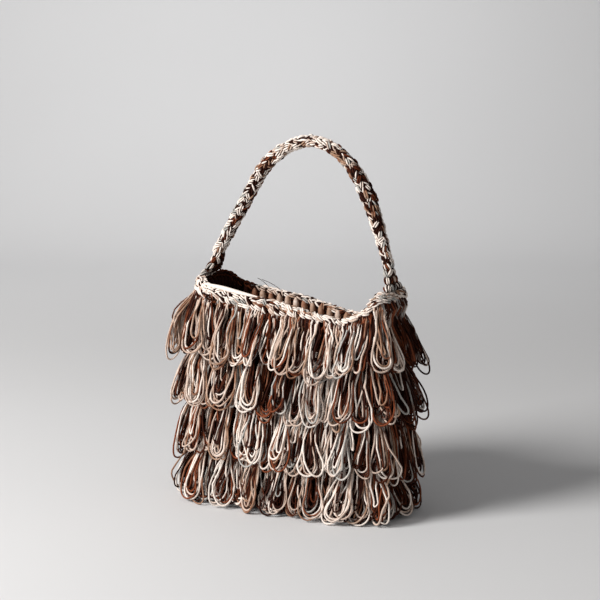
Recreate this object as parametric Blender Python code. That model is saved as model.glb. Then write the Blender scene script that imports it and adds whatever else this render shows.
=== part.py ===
"""Crochet handbag with a looped fringe, as solids in metres, +Z up.

The bag stands on its flat base. Its width runs along X, its front faces -Y, and the origin is in the
middle of the base. A crocheted pouch carries a stitched rim band. One asymmetric strap springs from two
gussets on the rim's narrow ends. Four tiers of yarn loops hang round the pouch like shingles, each from
its own narrow strip.
"""
import math
import random

import bmesh
import bpy
from mathutils import Vector
from mathutils.geometry import interpolate_bezier

# The pouch is a rounded box whose plan changes evenly from its base to its mouth.
BASE_HALF_WIDTH = 0.102
BASE_HALF_DEPTH = 0.033
BASE_CORNER = 0.020
BASE_BOW = 0.006  # how far the middle of a long side stands out at the base
MOUTH_HALF_WIDTH = 0.107
MOUTH_HALF_DEPTH = 0.032
MOUTH_CORNER = 0.020
MOUTH_BOW = 0.003
MOUTH_HEIGHT = 0.230  # where the mouth's sizes are reached
WALL = 0.003
BASE_EDGE = 0.003  # bevel round the base
GAP = 0.0003  # between pieces that touch
RIM_SEAM = 0.0005  # the same under the rim band, whose edges rise and turn at once

# The mouth's edge, along the bag's width. It is lowest right of the middle and rises to the strap.
RIM_LINE = (
    # x, height at the front, height at the back
    (-0.1015, 0.2310, 0.2310),
    (-0.0900, 0.2255, 0.2240),
    (-0.0700, 0.2225, 0.2180),
    (-0.0450, 0.2185, 0.2145),
    (-0.0150, 0.2150, 0.2100),
    (0.0180, 0.2100, 0.2035),
    (0.0450, 0.2060, 0.1985),
    (0.0650, 0.2045, 0.1990),
    (0.0800, 0.2090, 0.2060),
    (0.0920, 0.2180, 0.2165),
    (0.1015, 0.2290, 0.2290),
)
RIM_FRONT = tuple((x, front) for x, front, _ in RIM_LINE)
RIM_BACK = tuple((x, back) for x, _, back in RIM_LINE)
RIM_LOW = min(back for _, back in RIM_BACK)

# The rim band's section: two rows of stitches on the outside, one edge row on top.
RIM_BAND = 0.0105
RIM_STITCH_RELIEF = 0.0007
RIM_SECTION = (
    # out from the pouch's face, share of the band's height, share of the stitch relief
    (-0.0030, 0.00, 0.0),
    (0.0012, 0.00, 0.0),
    (0.0026, 0.24, 1.0),
    (0.0014, 0.48, 0.0),
    (0.0026, 0.74, -1.0),
    (-0.0003, 1.00, 0.0),
    (-0.0036, 0.74, -1.0),
)
STATIONS = 96  # points round the pouch and the rim, two for each stitch of the rim

# The strap's centre line over the gussets, in the bag's middle plane.
STRAP_LINE = (
    # x, height
    (-0.0925, 0.2560),
    (-0.0765, 0.2835),
    (-0.0575, 0.3150),
    (-0.0390, 0.3440),
    (-0.0190, 0.3620),
    (0.0100, 0.3725),
    (0.0365, 0.3665),
    (0.0590, 0.3480),
    (0.0765, 0.3190),
    (0.0885, 0.2860),
    (0.0985, 0.2560),
)
STRAP_HALF_WIDTH = 0.0080
STRAP_HALF_THICKNESS = 0.0070
STRAP_STITCH = 0.0085
STRAP_SIDES = 8  # four columns of stitches and the four furrows between them
STRAP_FURROW = 0.80  # share of the full size that is left in a furrow
STRAP_NECK = 0.90  # the same between one stitch and the next
GUSSET_HALF_SPAN = 0.030  # along the line on which the loops are spaced
GUSSET_HALF_THICKNESS = 0.0024
GUSSET_OUT = -0.0008
GUSSET_STEPS = 4

# The fringe: loops of gathered yarn, near and far ones by turns.
FRINGE_LINE_OUT = 0.014  # how far outside the pouch the loops are spaced evenly
LOOPS_PER_TIER = 36
LOOP_HALF_WIDTH = 0.0077
LOOP_YARN_WIDTH = 0.0062
LOOP_YARN_THICKNESS = 0.0046
LOOP_OUT_ROOT = 0.0016
FAR_LOOP_OUT = 0.0065  # how much further out the far loops hang
FAR_LOOP_SHARE = 0.42  # share of the length by which a far loop has moved out
STRIP_HEIGHT = 0.006
UNDER_RIM = 0.0018  # the top strip keeps clear of the rim band's rising underside
STRIP_IN = 0.00055
STRIP_OUT = 0.0038
ROOT_SINK = 0.0015  # how far a loop's end goes up into the strip
STRIP_STATIONS = 48
ROOT_SCALE = 0.5  # the yarn is gathered where it leaves the strip
SHIFT_SPREAD = 0.06  # share of the distance between two loops
WIDTH_SPREAD = 0.10  # share of a loop's width
LEAN_SPREAD = 0.0026
LENGTH_SPREAD = 0.005
SEED = 7

# One side of a loop, from its root to its lowest point.
LOOP_FORM = (
    # share of the length, share of the half width
    (0.000, 0.46),
    (0.420, 0.68),
    (0.760, 1.00),
    (0.915, 0.86),
    (0.995, 0.36),
)

# A tier's root and its loops' ends follow the rim's rise by a share.
TIERS = (
    # name, root height, root's share, end height, end's share, out at the end, rests on the floor
    ("fringe_tier_1", RIM_LOW - RIM_BAND - UNDER_RIM, 1.00, 0.1360, 0.50, 0.0205, False),
    ("fringe_tier_2", 0.1640, 0.30, 0.0920, 0.30, 0.0205, False),
    ("fringe_tier_3", 0.1150, 0.15, 0.0425, 0.15, 0.0205, False),
    ("fringe_tier_4", 0.0680, 0.00, GAP, 0.00, 0.0135, True),
)

# name: colour, roughness
FINISHES = {
    "pouch": ((0.190, 0.085, 0.048), 0.92),
    "rim_band": ((0.640, 0.520, 0.400), 0.88),
    "strap": ((0.430, 0.300, 0.220), 0.88),
    "fringe_tier_1": ((0.560, 0.400, 0.285), 0.86),
    "fringe_tier_2": ((0.400, 0.220, 0.140), 0.86),
    "fringe_tier_3": ((0.470, 0.290, 0.190), 0.86),
    "fringe_tier_4": ((0.330, 0.240, 0.200), 0.86),
}


def mix(a, b, share):
    return a + (b - a) * share


# Lengths of a quarter of the line on which the loops are spaced: half an end, a corner, half a side.
END_LENGTH = BASE_HALF_DEPTH - BASE_CORNER
CORNER_LENGTH = (mix(BASE_CORNER, MOUTH_CORNER, 0.5) + FRINGE_LINE_OUT) * math.pi / 2
SIDE_LENGTH = mix(BASE_HALF_WIDTH - BASE_CORNER, MOUTH_HALF_WIDTH - MOUTH_CORNER, 0.5)
QUARTER = END_LENGTH + CORNER_LENGTH + SIDE_LENGTH
GIRTH = 4 * QUARTER


def quarter_point(share, half_width, half_depth, corner):
    """Point and outward direction on a quarter of a rounded box, from its right end to its back."""
    way = share * QUARTER
    if way < END_LENGTH:
        return half_width, (half_depth - corner) * way / END_LENGTH, 1.0, 0.0
    if way < END_LENGTH + CORNER_LENGTH:
        turn = (way - END_LENGTH) / CORNER_LENGTH * math.pi / 2
        c, s = math.cos(turn), math.sin(turn)
        return half_width - corner + corner * c, half_depth - corner + corner * s, c, s
    left = (way - END_LENGTH - CORNER_LENGTH) / SIDE_LENGTH
    return (half_width - corner) * (1 - left), half_depth, 0.0, 1.0


def wall_point(station, height, out=0.0):
    """Point at a distance out from the pouch's outer face, and the outward direction there.

    station runs once round the pouch from 0 to 1: right end, back, left end, front.
    """
    rise = height / MOUTH_HEIGHT
    half_width = mix(BASE_HALF_WIDTH, MOUTH_HALF_WIDTH, rise) + out
    half_depth = mix(BASE_HALF_DEPTH, MOUTH_HALF_DEPTH, rise) + out
    corner = mix(BASE_CORNER, MOUTH_CORNER, rise) + out
    quarter, share = divmod(4 * station, 1.0)
    quarter %= 4
    if quarter in (1, 3):
        share = 1 - share
    x, y, out_x, out_y = quarter_point(share, half_width, half_depth, corner)
    y += mix(BASE_BOW, MOUTH_BOW, rise) * (1 - (x / half_width) ** 2)
    right = 1 if quarter in (0, 3) else -1
    back = 1 if quarter in (0, 1) else -1
    return Vector((right * x, back * y, height)), Vector((right * out_x, back * out_y, 0))


def smooth_value(table, x):
    """Value at x on a smooth line through the table's rows, level at and past its ends."""
    if x <= table[0][0]:
        return table[0][1]
    if x >= table[-1][0]:
        return table[-1][1]
    last = next(i for i in range(1, len(table)) if x <= table[i][0])
    (start, low), (end, high) = table[last - 1], table[last]
    t = (x - start) / (end - start)
    slopes = [table_slope(table, i) * (end - start) for i in (last - 1, last)]
    rise = t * t * (3 - 2 * t)
    return mix(low, high, rise) + slopes[0] * t * (1 - t) ** 2 - slopes[1] * t * t * (1 - t)


def table_slope(table, i):
    if i in (0, len(table) - 1):
        return 0.0
    return (table[i + 1][1] - table[i - 1][1]) / (table[i + 1][0] - table[i - 1][0])


def rim_height(station):
    """Height of the mouth's edge at a station."""
    spot = wall_point(station, MOUTH_HEIGHT)[0]
    return smooth_value(RIM_BACK if spot.y > 0 else RIM_FRONT, spot.x)


def loft(rings, loop=False):
    """A closed mesh through rings of points. The last ring joins the first, or both get a cap."""
    bm = bmesh.new()
    rows = [[bm.verts.new(point) for point in ring] for ring in rings]
    pairs = list(zip(rows, rows[1:]))
    if loop:
        pairs.append((rows[-1], rows[0]))
    else:
        bm.faces.new(rows[0])
        bm.faces.new(rows[-1])
    for a, b in pairs:
        for i in range(len(a)):
            j = (i + 1) % len(a)
            bm.faces.new((a[i], a[j], b[j], b[i]))
    return bm


def add_object(name, bm, collection):
    """Makes an object of the mesh, faces outward and smooth but for its sharp edges."""
    bmesh.ops.recalc_face_normals(bm, faces=bm.faces)
    mesh = bpy.data.meshes.new(name)
    bm.to_mesh(mesh)
    bm.free()
    mesh.shade_smooth()
    mesh.set_sharp_from_angle(angle=math.radians(50))
    piece = bpy.data.objects.new(name, mesh)
    collection.objects.link(piece)
    return piece


def add_finish(piece):
    colour, roughness = FINISHES[piece.name]
    material = bpy.data.materials.new(piece.name + "_yarn")
    material.use_nodes = True
    shader = material.node_tree.nodes["Principled BSDF"]
    shader.inputs["Base Color"].default_value = (*colour, 1.0)
    shader.inputs["Roughness"].default_value = roughness
    shader.inputs["Metallic"].default_value = 0.0
    piece.data.materials.append(material)


def make_pouch(collection):
    """The crocheted pouch: one wall all round, a flat base and an open mouth under the rim band."""
    stations = [i / STATIONS for i in range(STATIONS)]
    tops = [rim_height(s) - RIM_BAND - RIM_SEAM for s in stations]
    rings = [
        [wall_point(s, 0.0, -BASE_EDGE)[0] for s in stations],
        [wall_point(s, BASE_EDGE)[0] for s in stations],
        [wall_point(s, top)[0] for s, top in zip(stations, tops)],
        [wall_point(s, top, -WALL)[0] for s, top in zip(stations, tops)],
        [wall_point(s, WALL, -WALL)[0] for s in stations],
    ]
    return add_object("pouch", loft(rings), collection)


def make_rim_band(collection):
    """The stitched edge of the mouth, seated on the pouch's wall."""
    rings = []
    for i in range(STATIONS):
        station = i / STATIONS
        top = rim_height(station)
        relief = RIM_STITCH_RELIEF * (-1) ** i
        ring = []
        for out, share, stitch in RIM_SECTION:
            side = math.copysign(1, out)
            ring.append(wall_point(station, top - RIM_BAND * (1 - share), out + side * stitch * relief)[0])
        rings.append(ring)
    return add_object("rim_band", loft(rings, loop=True), collection)


def strap_centres():
    """Evenly spaced centres of the strap's rings, two to a stitch."""
    knots = [Vector((x, 0, height)) for x, height in STRAP_LINE]
    fine = []
    for i in range(len(knots) - 1):
        before, after = knots[max(i - 1, 0)], knots[min(i + 2, len(knots) - 1)]
        start, end = knots[i], knots[i + 1]
        lead, trail = start + (end - before) / 6, end - (after - start) / 6
        fine += interpolate_bezier(start, lead, trail, end, 24)[:-1]
    fine.append(knots[-1])
    reached = [0.0]
    for a, b in zip(fine, fine[1:]):
        reached.append(reached[-1] + (b - a).length)
    count = 2 * round(reached[-1] / STRAP_STITCH) + 1
    centres, at = [], 0
    for k in range(count):
        goal = reached[-1] * k / (count - 1)
        while at < len(fine) - 2 and reached[at + 1] < goal:
            at += 1
        share = (goal - reached[at]) / (reached[at + 1] - reached[at])
        centres.append(fine[at].lerp(fine[at + 1], min(share, 1.0)))
    return centres


def strap_ring(centres, k):
    """A ring of the strap. Its points step along the strap, so that each stitch points one way."""
    ahead = (centres[min(k + 1, len(centres) - 1)] - centres[max(k - 1, 0)]).normalized()
    outward = Vector((-ahead.z, 0, ahead.x))
    stitch = 1.0 if k % 2 else STRAP_NECK
    ring = []
    for i in range(STRAP_SIDES):
        angle = 2 * math.pi * i / STRAP_SIDES
        size = stitch if i % 2 else STRAP_FURROW
        step = STRAP_STITCH / 2 * (1 - abs(math.sin(angle)))
        across = Vector((0, -math.cos(angle) * STRAP_HALF_WIDTH * size, 0))
        ring.append(centres[k] + across + outward * math.sin(angle) * STRAP_HALF_THICKNESS * size - ahead * step)
    return ring


def gusset_ring(station, turn):
    """The foot of a gusset: a thin curved ring that stands on the rim band's narrow end."""
    height = rim_height(station) + GAP
    ring = []
    for i in range(STRAP_SIDES):
        angle = 2 * math.pi * i / STRAP_SIDES
        along = turn * math.cos(angle) * GUSSET_HALF_SPAN / GIRTH
        out = GUSSET_OUT + math.sin(angle) * GUSSET_HALF_THICKNESS
        point = wall_point(station + along, height, out)[0]
        ring.append(point)
    return ring


def make_strap(collection):
    """The strap over the mouth, with a curved gusset at each foot."""
    centres = strap_centres()
    rings = [strap_ring(centres, k) for k in range(len(centres))]
    left, right = gusset_ring(0.5, 1), gusset_ring(0.0, -1)
    left_flare = [blend_rings(left, rings[0], i / GUSSET_STEPS) for i in range(GUSSET_STEPS)]
    right_flare = [blend_rings(right, rings[-1], i / GUSSET_STEPS) for i in range(GUSSET_STEPS)]
    return add_object("strap", loft(left_flare + rings + right_flare[::-1]), collection)


def blend_rings(foot, end, share):
    """A ring between a gusset's foot and the strap's end. It narrows fast over the foot."""
    narrowing = 1 - (1 - share) ** 1.5
    ring = []
    for a, b in zip(foot, end):
        point = a.lerp(b, narrowing)
        point.z = mix(a.z, b.z, share)
        ring.append(point)
    return ring


def tier_height(station, height, share):
    """A tier's height at a station, where it follows a share of the rim's rise."""
    return height + share * (rim_height(station) - RIM_LOW)


def loop_out(down, out_end, far):
    """How far a loop lies outside the pouch, at a share of its tier's length below the root."""
    return mix(LOOP_OUT_ROOT, out_end, down) + far * FAR_LOOP_OUT * min(down / FAR_LOOP_SHARE, 1.0)


def add_loop(bm, tier, number, rng):
    """Adds one hanging loop of gathered yarn, as a three-sided tube that ends inside the strip."""
    _, root, root_share, end, end_share, out_end, rests = tier
    station = (number + 0.5 + rng.uniform(-SHIFT_SPREAD, SHIFT_SPREAD)) / LOOPS_PER_TIER
    far = number % 2
    top = tier_height(station, root, root_share) - STRIP_HEIGHT + ROOT_SINK
    bottom = tier_height(station, end, end_share) + LOOP_YARN_WIDTH / 2
    length = top - bottom
    reach = length + (0.0 if rests else rng.uniform(-LENGTH_SPREAD, LENGTH_SPREAD))
    half_width = LOOP_HALF_WIDTH * rng.uniform(1 - WIDTH_SPREAD, 1 + WIDTH_SPREAD)
    lean = rng.uniform(-LEAN_SPREAD, LEAN_SPREAD)
    form = [(down, -width) for down, width in LOOP_FORM] + list(LOOP_FORM[::-1])
    spots = []
    for down, width in form:
        drop = down * reach
        along = (width * half_width + lean * down) / GIRTH
        spots.append(wall_point(station + along, top - drop, loop_out(drop / length, out_end, far)))
    rings = []
    for i, (point, outward) in enumerate(spots):
        ahead = (spots[min(i + 1, len(spots) - 1)][0] - spots[max(i - 1, 0)][0]).normalized()
        outward = (outward - ahead * outward.dot(ahead)).normalized()
        sideways = ahead.cross(outward)
        size = ROOT_SCALE if i in (0, len(spots) - 1) else 1.0
        rings.append([
            point + size * (sideways * across * LOOP_YARN_WIDTH + outward * depth * LOOP_YARN_THICKNESS)
            for across, depth in ((-1 / 2, -1 / 3), (1 / 2, -1 / 3), (0, 2 / 3))
        ])
    if rests:
        lowest = min(point.z for ring in rings for point in ring)
        for ring in rings:
            for point in ring:
                point.z += GAP - lowest
    rows = [[bm.verts.new(point) for point in ring] for ring in rings]
    bm.faces.new(rows[0])
    bm.faces.new(rows[-1])
    for a, b in zip(rows, rows[1:]):
        for i in range(3):
            bm.faces.new((a[i], a[(i + 1) % 3], b[(i + 1) % 3], b[i]))


def make_tier(tier, collection, helpers, rng):
    """One tier of the fringe: a narrow strip round the pouch with its loops fused to it."""
    name, root, root_share = tier[:3]
    rings = []
    for i in range(STRIP_STATIONS):
        station = i / STRIP_STATIONS
        top = tier_height(station, root, root_share)
        corners = ((STRIP_IN, 0), (STRIP_OUT, 0), (STRIP_OUT, STRIP_HEIGHT), (STRIP_IN, STRIP_HEIGHT))
        rings.append([wall_point(station, top - down, out)[0] for out, down in corners])
    strip = add_object(name, loft(rings, loop=True), collection)
    loops = bmesh.new()
    for number in range(LOOPS_PER_TIER):
        add_loop(loops, tier, number, rng)
    yarn = add_object(name + "_loops", loops, helpers)
    yarn.hide_render = True
    yarn.display_type = "WIRE"
    union = strip.modifiers.new("loops", "BOOLEAN")
    union.operation = "UNION"
    union.solver = "EXACT"
    union.use_self = True
    union.object = yarn
    return strip


def main():
    for old in list(bpy.data.objects):
        bpy.data.objects.remove(old, do_unlink=True)
    bag = bpy.data.collections.new("crochet_handbag")
    helpers = bpy.data.collections.new("union_helpers")
    for collection in (bag, helpers):
        bpy.context.scene.collection.children.link(collection)
    pieces = [make_pouch(bag), make_rim_band(bag), make_strap(bag)]
    rng = random.Random(SEED)
    pieces += [make_tier(tier, bag, helpers, rng) for tier in TIERS]
    for piece in pieces:
        add_finish(piece)


main()
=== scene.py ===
"""Crochet handbag with a looped fringe: its yarn, stitches, finishes, light and camera.

Metres, +Z up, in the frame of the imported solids: the bag stands on its base, its width runs along X and
its front faces -Y. The yarn follows the same pouch, rim, strap and tiers as the solids do, so the sizes
that shape them are repeated here.
"""
import math
import random
from collections import namedtuple

import bmesh
import bpy
from bpy.props import FloatProperty, FloatVectorProperty, IntProperty, PointerProperty
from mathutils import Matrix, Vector
from mathutils.geometry import interpolate_bezier


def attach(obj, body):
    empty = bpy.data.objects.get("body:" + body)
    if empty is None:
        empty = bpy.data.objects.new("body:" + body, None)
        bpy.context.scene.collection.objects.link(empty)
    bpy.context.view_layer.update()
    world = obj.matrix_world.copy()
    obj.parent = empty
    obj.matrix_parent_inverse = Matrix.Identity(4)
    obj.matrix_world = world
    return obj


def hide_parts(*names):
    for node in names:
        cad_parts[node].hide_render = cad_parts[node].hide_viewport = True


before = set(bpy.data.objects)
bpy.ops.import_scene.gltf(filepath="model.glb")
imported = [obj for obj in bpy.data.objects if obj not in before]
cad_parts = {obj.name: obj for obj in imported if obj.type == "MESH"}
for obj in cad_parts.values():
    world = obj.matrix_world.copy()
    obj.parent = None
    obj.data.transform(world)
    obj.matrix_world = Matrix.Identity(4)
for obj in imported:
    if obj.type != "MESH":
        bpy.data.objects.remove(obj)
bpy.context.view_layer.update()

bl_info = {
    "name": "Crochet handbag",
    "version": (1, 0, 0),
    "blender": (4, 5, 0),
    "location": "3D View > Sidebar > Handbag",
    "description": "Yarn, stitches and stage for a crochet handbag with a looped fringe",
    "category": "Add Mesh",
}

# ---- Sizes of the solids, as they were built ----

BASE_HALF_WIDTH = 0.102
BASE_HALF_DEPTH = 0.033
BASE_CORNER = 0.020
BASE_BOW = 0.006
MOUTH_HALF_WIDTH = 0.107
MOUTH_HALF_DEPTH = 0.032
MOUTH_CORNER = 0.020
MOUTH_BOW = 0.003
MOUTH_HEIGHT = 0.230
WALL = 0.003
BASE_EDGE = 0.003
GAP = 0.0003
UP = Vector((0, 0, 1))

RIM_LINE = (
    # x, height at the front, height at the back
    (-0.1015, 0.2310, 0.2310),
    (-0.0900, 0.2255, 0.2240),
    (-0.0700, 0.2225, 0.2180),
    (-0.0450, 0.2185, 0.2145),
    (-0.0150, 0.2150, 0.2100),
    (0.0180, 0.2100, 0.2035),
    (0.0450, 0.2060, 0.1985),
    (0.0650, 0.2045, 0.1990),
    (0.0800, 0.2090, 0.2060),
    (0.0920, 0.2180, 0.2165),
    (0.1015, 0.2290, 0.2290),
)
RIM_FRONT = tuple((x, front) for x, front, _ in RIM_LINE)
RIM_BACK = tuple((x, back) for x, _, back in RIM_LINE)
RIM_LOW = min(back for _, back in RIM_BACK)
RIM_BAND = 0.0105

STRAP_LINE = (
    # x, height
    (-0.0925, 0.2560),
    (-0.0765, 0.2835),
    (-0.0575, 0.3150),
    (-0.0390, 0.3440),
    (-0.0190, 0.3620),
    (0.0100, 0.3725),
    (0.0365, 0.3665),
    (0.0590, 0.3480),
    (0.0765, 0.3190),
    (0.0885, 0.2860),
    (0.0985, 0.2560),
)
STRAP_HALF_WIDTH = 0.0080
STRAP_HALF_THICKNESS = 0.0070
STRAP_STITCH = 0.0085
STRAP_FINE_STEPS = 24
GUSSET_HALF_SPAN = 0.030
GUSSET_HALF_THICKNESS = 0.0024
GUSSET_OUT = -0.0008
GUSSET_NARROWING = 1.9

FRINGE_LINE_OUT = 0.014
LOOPS_PER_TIER = 36
LOOP_HALF_WIDTH = 0.0077
LOOP_OUT_ROOT = 0.0016
FAR_LOOP_OUT = 0.0065
FAR_LOOP_SHARE = 0.42
STRIP_HEIGHT = 0.006
UNDER_RIM = 0.0018
STRIP_IN = 0.00055
STRIP_OUT = 0.0038
ROOT_SINK = 0.0015
SHIFT_SPREAD = 0.06
WIDTH_SPREAD = 0.10
LEAN_SPREAD = 0.0026
LENGTH_SPREAD = 0.005
LOOP_SEED = 7

TIERS = (
    # CAD node, root height, root's share, end height, end's share, out at the end, rests on the floor
    ("fringe_tier_1", RIM_LOW - RIM_BAND - UNDER_RIM, 1.00, 0.1360, 0.50, 0.0205, False),
    ("fringe_tier_2", 0.1640, 0.30, 0.0920, 0.30, 0.0205, False),
    ("fringe_tier_3", 0.1150, 0.15, 0.0425, 0.15, 0.0205, False),
    ("fringe_tier_4", 0.0680, 0.00, GAP, 0.00, 0.0135, True),
)

# ---- Sizes of the yarn work ----

# The yarn is dyed in lengths of different colours. A letter stands for the middle of one of them.
DYE = {"c": 0.07, "p": 0.21, "t": 0.32, "r": 0.42, "b": 0.51, "d": 0.61, "g": 0.85}
# The order in which the colours come round each tier, one letter for a bundle of loops.
TIER_DYES = ("bprpcptccptccgrpcb", "dcpctpgrtbcgpccrbg", "drprcpcgbtpccgcdtr", "dbprgccprbggdcprgd")
DYE_REPEAT = 0.95  # metres of yarn after which the colours come again
DYE_SPREAD = 0.04
STITCH_DYE_SPREAD = 0.03
PALE = "cccccpg"  # for loops that stay pale in any bundle
MIXED = "ptcrdb"  # for odd loops among those in a bundle's own colour
BEHIND_SHADE_DYES = "bddddddd"  # dark dyes for the loops behind, as painted shade between the strands
PALE_CHANCE = 0.45
# Share of pale loops in the right end's bundles: lower, as painted shade
PAINTED_SHADE_PALE_CHANCE = 0.18
MIXED_CHANCE = 0.22
# Chance that a loop behind takes a dark dye as painted shade, and how much less on the left end, where the
# loops behind show
PAINTED_SHADE_DYE_CHANCE = 0.80
LESS_PAINTED_SHADE_AT_LEFT_END = 0.45

SHOWN_LOOPS = (
    # share of the bundle's half width, rise of the lowest point, out from the bundle's middle
    (1.34, 0.0000, 0.0022),
    (1.13, 0.0022, 0.0036),
    (0.98, 0.0042, 0.0014),
    (0.82, 0.0064, 0.0034),
    (0.64, 0.0092, 0.0020),
    (0.46, 0.0134, 0.0036),
    (0.28, 0.0190, 0.0024),
)
INNER_LOOPS = (
    (1.18, 0.0050, -0.0030),
    (0.86, 0.0110, -0.0044),
    (0.50, 0.0030, -0.0012),
    (0.34, 0.0190, -0.0024),
    (0.70, 0.0230, -0.0060),
    (0.22, 0.0080, 0.0006),
    (1.02, 0.0140, -0.0018),
)
DARK_HEART = 0.5  # in two bundles of three, loops narrower than this share are in dark lengths
PAINTED_SHADE_RIGHT_END = {35: "r", 0: "d", 1: "b", 2: "d"}  # bundles of the right end, in darker dyes than the rest as painted shade: that end lies in shade
STRAYS = (
    # tier, bundle, share of its half width, rise, further out, dye: single loops that stand off
    (1, 1, 1.3, -0.0060, 0.0020, "b"),
    (1, 19, 1.3, -0.0040, 0.0020, "c"),
    (2, 1, 1.3, -0.0050, 0.0020, "d"),
    (2, 19, 1.3, -0.0050, 0.0020, "c"),
    (3, 1, 1.3, -0.0050, 0.0020, "d"),
    (3, 19, 1.3, -0.0060, 0.0030, "t"),
    (4, 19, 1.5, 0.0010, 0.0060, "p"),
    (4, 21, 1.3, 0.0020, 0.0050, "t"),
)
ROOT_LIFT = 0.0050
ROOT_LIFT_INTO_RIM = 0.0066
RIM_NARROWING = 0.0056  # how much less of the rim shows above the loops in its low part
LEG_STEPS = 6
BEND_STEPS = 7
LEG_SHARE = 0.60  # of a loop's line from its root to its lowest point
END_TWIST = 1.0  # radians that the bundles of the narrow ends hang turned
FAR_WIDENING = 1.22  # the bundles that lie further out spread over their neighbours
BUNDLE_WIDTHS = (0.76, 1.26)
BUNDLE_TWIST = 0.42
LOOP_WIDTHS = (0.76, 1.16)
LOOP_FULLNESS = (0.85, 1.12)
LOOP_BENDS = (0.9, 1.7)  # height of the round bottom, by the loop's half width
LONGEST_BEND = 0.6
LOOP_BELLIES = (0.9, 1.8)
LOOP_TWIST = 0.22
LOOP_SHIFT = 0.0012
LOOP_SKEW = 0.0018
CROSSING_SKEW = 0.0060
LOOP_WAVES = (0.0005, 0.0018)
BUNDLE_WAVE = 0.0016
ROOT_PLACES = (0.20, 0.90)  # across the bundle's neck
CURL_WIDTHS = (0.35, 0.8)
CURL_RISES = (0.30, 0.5)

Hang = namedtuple(
    "Hang",
    "breadth neck belly play crossing curls inner_rise flare right_in left_in end_flare end_longer left_puff",
)
TIER_HANGS = (
    # How the bundles of each tier hang: breadth, breadth of the neck, how low down a loop gets wide, play
    # in its length, chance that it crosses the others, chance of a curl, share of the inner loops' rise,
    # further out at the lower end. On the narrow ends: how far in at the right and at the left, further
    # out at the lower end, longer, and how far the loops puff out at the left.
    Hang(0.92, 1.12, 1.00, 0.0075, 0.15, 0.15, 1.0, 0.0000, 0.0122, -0.0010, 0.0000, 0.0085, 0.0055),
    Hang(0.92, 1.12, 1.00, 0.0075, 0.15, 0.15, 1.0, 0.0000, 0.0105, 0.0026, 0.0000, 0.0060, 0.0),
    Hang(1.00, 0.62, 1.75, 0.0075, 0.40, 0.45, 1.0, 0.0005, 0.0028, -0.0018, -0.0060, 0.0140, 0.0),
    Hang(1.00, 0.62, 1.75, 0.0020, 0.40, 0.45, 0.4, 0.0050, 0.0085, -0.0004, -0.0020, 0.0, 0.0),
)
RIM_PITCH = 0.0058
POST_PITCH = 0.0081
POST_ROW = 0.0140

CAMERA_AZIMUTH = 26.6
CAMERA_ELEVATION = 10.0
CAMERA_DISTANCE = 1.61
CAMERA_AIM_HEIGHT = 0.2107
CAMERA_AIM_ASIDE = 0.001
CAMERA_LENS = 95.0


def mix(a, b, share):
    return a + (b - a) * share


def smooth_step(share):
    share = min(max(share, 0.0), 1.0)
    return share * share * (3 - 2 * share)


def eased(x, start, length):
    """0 up to a start, and 1 from a length past it."""
    return smooth_step((x - start) / length)


# ---- The pouch, the rim and the strap as lines and faces to work on ----

END_LENGTH = BASE_HALF_DEPTH - BASE_CORNER
CORNER_LENGTH = (mix(BASE_CORNER, MOUTH_CORNER, 0.5) + FRINGE_LINE_OUT) * math.pi / 2
SIDE_LENGTH = mix(BASE_HALF_WIDTH - BASE_CORNER, MOUTH_HALF_WIDTH - MOUTH_CORNER, 0.5)
QUARTER = END_LENGTH + CORNER_LENGTH + SIDE_LENGTH
GIRTH = 4 * QUARTER
WALL_GIRTH = GIRTH - 2 * math.pi * FRINGE_LINE_OUT  # round the wall itself


def quarter_point(share, half_width, half_depth, corner):
    """Point and outward direction on a quarter of a rounded box, from its right end to its back."""
    way = share * QUARTER
    if way < END_LENGTH:
        return half_width, (half_depth - corner) * way / END_LENGTH, 1.0, 0.0
    if way < END_LENGTH + CORNER_LENGTH:
        turn = (way - END_LENGTH) / CORNER_LENGTH * math.pi / 2
        c, s = math.cos(turn), math.sin(turn)
        return half_width - corner + corner * c, half_depth - corner + corner * s, c, s
    left = (way - END_LENGTH - CORNER_LENGTH) / SIDE_LENGTH
    return (half_width - corner) * (1 - left), half_depth, 0.0, 1.0


def wall_point(station, height, out=0.0):
    """Point at a distance out from the pouch's outer face, and the outward direction there.

    station runs once round the pouch from 0 to 1: right end, back, left end, front.
    """
    rise = height / MOUTH_HEIGHT
    half_width = mix(BASE_HALF_WIDTH, MOUTH_HALF_WIDTH, rise) + out
    half_depth = mix(BASE_HALF_DEPTH, MOUTH_HALF_DEPTH, rise) + out
    corner = mix(BASE_CORNER, MOUTH_CORNER, rise) + out
    quarter, share = divmod(4 * station, 1.0)
    quarter %= 4
    if quarter in (1, 3):
        share = 1 - share
    x, y, out_x, out_y = quarter_point(share, half_width, half_depth, corner)
    y += mix(BASE_BOW, MOUTH_BOW, rise) * (1 - (x / half_width) ** 2)
    right = 1 if quarter in (0, 3) else -1
    back = 1 if quarter in (0, 1) else -1
    return Vector((right * x, back * y, height)), Vector((right * out_x, back * out_y, 0))


def smooth_value(table, x):
    """Value at x on a smooth line through the table's rows, level at and past its ends."""
    if x <= table[0][0]:
        return table[0][1]
    if x >= table[-1][0]:
        return table[-1][1]
    last = next(i for i in range(1, len(table)) if x <= table[i][0])
    (start, low), (end, high) = table[last - 1], table[last]
    t = (x - start) / (end - start)
    slopes = [table_slope(table, i) * (end - start) for i in (last - 1, last)]
    rise = t * t * (3 - 2 * t)
    return mix(low, high, rise) + slopes[0] * t * (1 - t) ** 2 - slopes[1] * t * t * (1 - t)


def table_slope(table, i):
    if i in (0, len(table) - 1):
        return 0.0
    return (table[i + 1][1] - table[i - 1][1]) / (table[i + 1][0] - table[i - 1][0])


def rim_height(station):
    """Height of the mouth's edge at a station."""
    spot = wall_point(station, MOUTH_HEIGHT)[0]
    return smooth_value(RIM_BACK if spot.y > 0 else RIM_FRONT, spot.x)


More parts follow.
